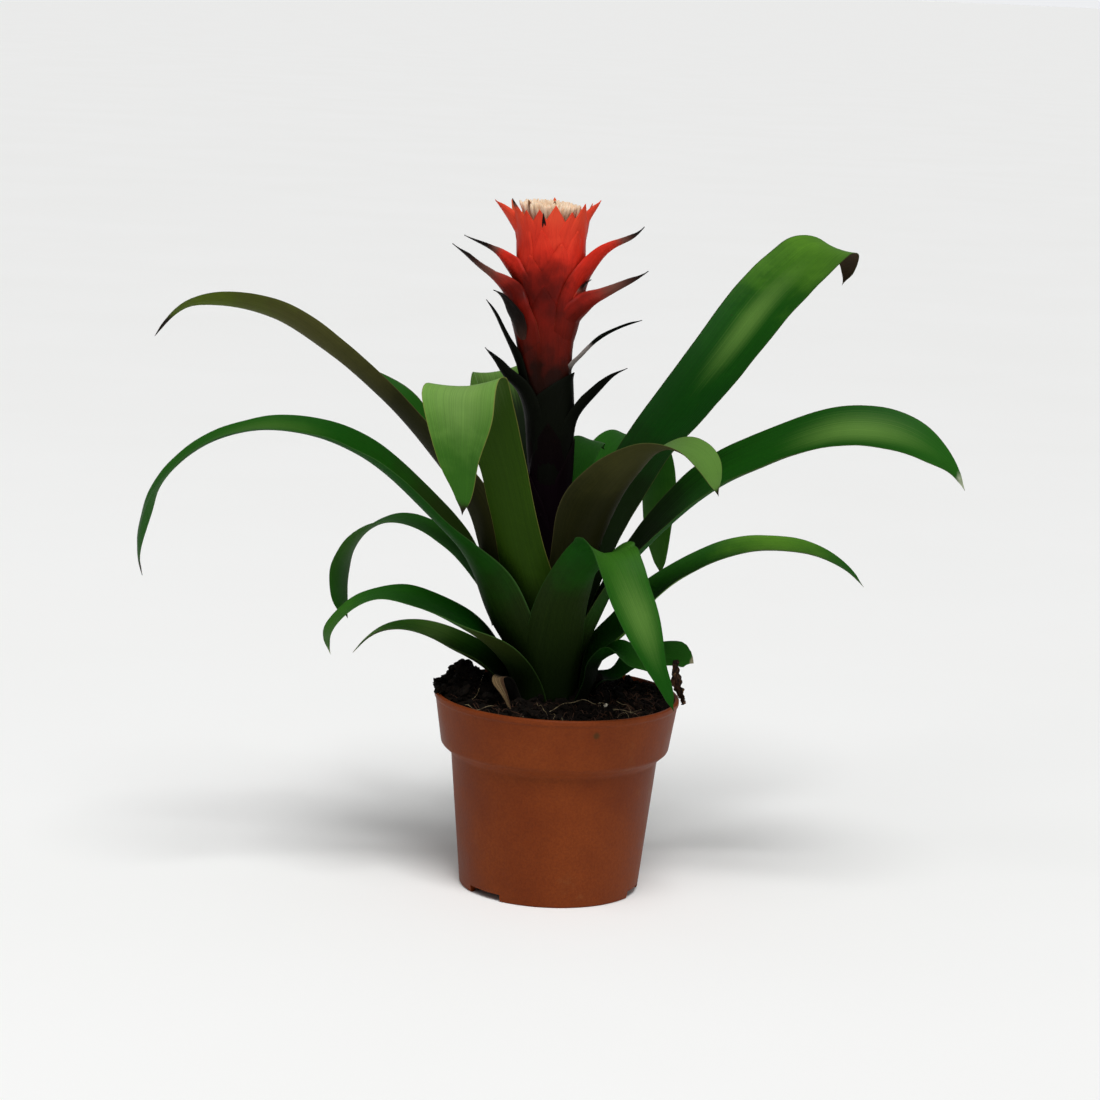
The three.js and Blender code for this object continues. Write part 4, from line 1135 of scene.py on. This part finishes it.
def bract_material(name, gloss, stops, inner, part_colour, dark_colour):
    """Bracts in the colours of the stops, (height, tone), with another tone inside and on dark ends."""
    r = Recipe(name, IOR=1.16, Specular_IOR_Level=gloss)
    tint, dark = r.number("tint"), r.number("dark")
    strips = r.vector(r.number("across"), r.number("share"), tint)
    veins = r.noise(r.stretched(strips, (11, 2.5, 40)), 1.0, 3, 0.55)
    clouds = r.noise(r.place(), 70, 3, 0.6)
    height = r.maths("ADD", r.number("rise"), r.span(clouds, 0.3, 0.7, -4.5, 4.5))
    height = r.maths("ADD", height, r.maths("MULTIPLY", tint, 4))
    low, high = stops[0][0], stops[-1][0]
    r.colour = r.node("ValToRGB", {"Fac": r.span(height, low, high, course="LINEAR")})["Color"]
    marks = r.colour.node.color_ramp.elements
    marks[0].color, marks[1].color = rgb(stops[0][1]), rgb(stops[-1][1])
    for z, tone in stops[1:-1]:
        marks.new((z - low) / (high - low)).color = rgb(tone)
    inside = r.maths("MULTIPLY", r.maths("SUBTRACT", 1.0, r.number("under")), 0.5)
    r.lay(inner, inside)
    streak = r.scaled(r.colour, (0.62, 0.5, 0.5, 1))
    r.coat(streak, veins, 0.42, 0.74, 0.0, 0.35)
    # A shaded patch low on the front of the head, where older bracts overlap.
    gap = r.maths("ADD", r.distance(r.place(), SHADED_PATCH), r.span(clouds, 0.3, 0.7, -0.005, 0.005))
    r.coat("3c0a06", gap, 0.0, SHADED_REACH, 0.85, 0.0)
    r.coat(part_colour, dark, 0.0, 0.55)
    r.coat(dark_colour, dark, 0.5, 1.0)
    r.lay("8a817c", r.number("faded"))
    r.bump((veins, 0.00022))
    return r.finish(r.span(clouds, 0.3, 0.7, 0.4, 0.55))


def make_flower():
    stem, head = Form(), Form()
    crown = [(0, -28), (16.5, -28), (22.5, -20), (22.5, -1.2), (6.2, -0.8)]
    add_core(stem, crown + STEM_PROFILE[1:-1] + [(10.2, HEAD_FOOT - 0.6), (0, HEAD_FOOT - 0.4)])
    top = [(11.5, HEAD_TOP), (9.5, HEAD_TOP + 5), (0, HEAD_TOP + 6)]
    add_core(head, [(0, HEAD_FOOT)] + HEAD_PROFILE[:-1] + top)
    for k, bract in enumerate(STEM_BRACTS):
        add_bract(stem, bract, k)
    add_bract(stem, RIGHT_STEM_HIGH, 14, pale=(0.36, 0.42, 0.58, 0.62))
    for k, bract in enumerate(HEAD_BRACTS):
        add_bract(head, bract, 50 + k)
    for form in (stem, head):
        form.points = (np.array(form.points) + CROWN).tolist()
    dark_stops = [(0, "0a0f06"), (60, "0b0609"), (110, "0d050a"), (150, "0e0a07"), (190, "101508"),
                  (205, "101508")]
    red_stops = [(150, "0e0806"), (163, "240a05"), (176, "60140a"), (188, "6c160c"), (198, "86190f"),
                 (210, "b62416"), (222, "d02e1e"), (246, "de4a30")]
    dark_look = bract_material("dark_bract", 0.1, dark_stops, "141e08", "0b0b08", "0d0f0a")
    red_look = bract_material("red_bract", 0.5, red_stops, "e6824e", "6c443a", "140d0b")
    stem.piece("bract_stem", dark_look, "dark_bract", ["flower_stem"])
    head.piece("bract_head", red_look, "red_bract", ["flower_head"])


FLORET_COUNT = 150
TUFT_RADIUS = 10.4
SPIRAL_STEP = 137.5


def make_florets():
    """A dense flat-topped tuft of cream buds, each a spindle with a blunt tip, set out in a spiral."""
    form = Form()
    middle = stem_middle(HEAD_TOP)
    for k in range(FLORET_COUNT):
        spread = math.sqrt((k + 0.5) / FLORET_COUNT)
        turn = math.radians(SPIRAL_STEP * k)
        outward = np.array([math.cos(turn), math.sin(turn), 0])
        lean = 0.3 * spread + random.gauss(0, 0.06)
        upward = np.array([random.gauss(0, 0.05), random.gauss(0, 0.05), math.cos(lean)])
        way = unit(outward * math.sin(lean) + upward)
        foot = middle + outward * TUFT_RADIUS * spread + np.array([0, 0, 4.0])
        length = random.uniform(12.4, 14.4) - 0.8 * spread**2 - 1.2 * spread * math.cos(turn)
        stations = np.linspace(0, 1, 9)
        swell = np.interp(stations, [0, 0.3, 0.6, 0.85, 1], [0.7, 1.0, 1.3, 1.05, 0.35])
        swell *= random.uniform(0.8, 1.1)
        path = [foot + way * length * (s - 0.2) + outward * 0.6 * s * s for s in stations]
        points, faces = tube(path, swell, 7)
        form.add(points, faces, share=np.repeat(stations, 7), tint=random.uniform(0, 1))
    form.points = (np.array(form.points) + CROWN).tolist()
    r = Recipe("cream_floret", Specular_IOR_Level=0.3, Subsurface_Weight=0.1)
    patches = r.span(r.noise(r.place(), 160, 3, 0.6), 0.4, 0.66)
    r.colour = r.blend(patches, "f0d4b6", "e2bf9c")
    share = r.number("share")
    r.coat("c08c60", share, 0.1, 0.7, 0.6, 0.0)
    brown = r.maths("MULTIPLY", r.span(r.number("tint"), 0.97, 0.98), r.span(share, 0.55, 0.9))
    r.lay("6a4020", brown)
    form.piece("cream_tuft", r.finish(0.6), "floret", ["florets"])


make_flower()
make_florets()


def aim(thing, place, target, roll=0.0):
    """Put a camera or lamp at a place, looking at a target, and turn it about its line of sight."""
    thing.location = place
    thing.rotation_mode = "QUATERNION"
    level = (Vector(target) - Vector(place)).to_track_quat("-Z", "Y")
    thing.rotation_quaternion = level @ Quaternion((0, 0, 1), math.radians(roll))


def add_camera():
    """The photograph's view: from the front, a little above, turned slightly about the line of sight."""
    data = bpy.data.cameras.new("camera")
    data.sensor_width = 36
    data.lens = 103.06
    data.clip_end = 1000
    camera = new_object("camera", data)
    aim(camera, (0, -1.5, 0.438), (-0.0066, 0, 0.1666), 2.66)
    bpy.context.scene.camera = camera


def add_light(name, place, target, size, power):
    data = bpy.data.lights.new(name, "AREA")
    data.shape = "DISK"
    data.size = size
    data.energy = power
    aim(new_object(name, data), place, target)


def add_sun(name, place, spread, power):
    data = bpy.data.lights.new(name, "SUN")
    data.angle = math.radians(spread)
    data.energy = power
    aim(new_object(name, data), place, (0, 0, 0))


def add_floor():
    mesh = bpy.data.meshes.new("floor")
    reach = 400
    corners = [(-reach, -reach, 0), (reach, -reach, 0), (reach, reach, 0), (-reach, reach, 0)]
    mesh.from_pydata(corners, [], [(0, 1, 2, 3)])
    r = Recipe("floor_paper", Specular_IOR_Level=0.0)
    r.colour = r.blend(r.noise(r.place(), 3), "f4f4f2", "f8f8f7")
    mesh.materials.append(r.finish(0.7))
    floor = new_object("floor", mesh)


def add_world():
    world = bpy.data.worlds.new("soft_room")
    world.use_nodes = True
    tree = Tree(world.node_tree)
    height = tree.node("SeparateXYZ", {0: tree.node("TexCoord")["Generated"]})["Z"]
    glow = tree.span(height, 0.0, 0.22, 0.55, 0.26)
    # Right at the horizon the room is as bright as the floor, so no edge shows between them.
    haze = tree.span(height, 0.0, 0.05, 0.33, 0.0)
    background = tree.nodes["Background"]
    tree.put(background.inputs["Strength"], tree.maths("ADD", glow, haze))
    background.inputs["Color"].default_value = (0.97, 0.98, 1.0, 1)
    bpy.context.scene.world = world
    bpy.context.scene.view_settings.view_transform = "Standard"


add_camera()
add_floor()
add_world()
add_sun("high_window", (0.12, -0.55, 1.0), 26, 2.3)
add_light("key", (-0.8, -1.1, 1.7), (0, 0, 0.17), 0.8, 5)
add_light("fill", (1.2, -1.0, 0.3), (0.03, 0, 0.05), 0.5, 1.8)
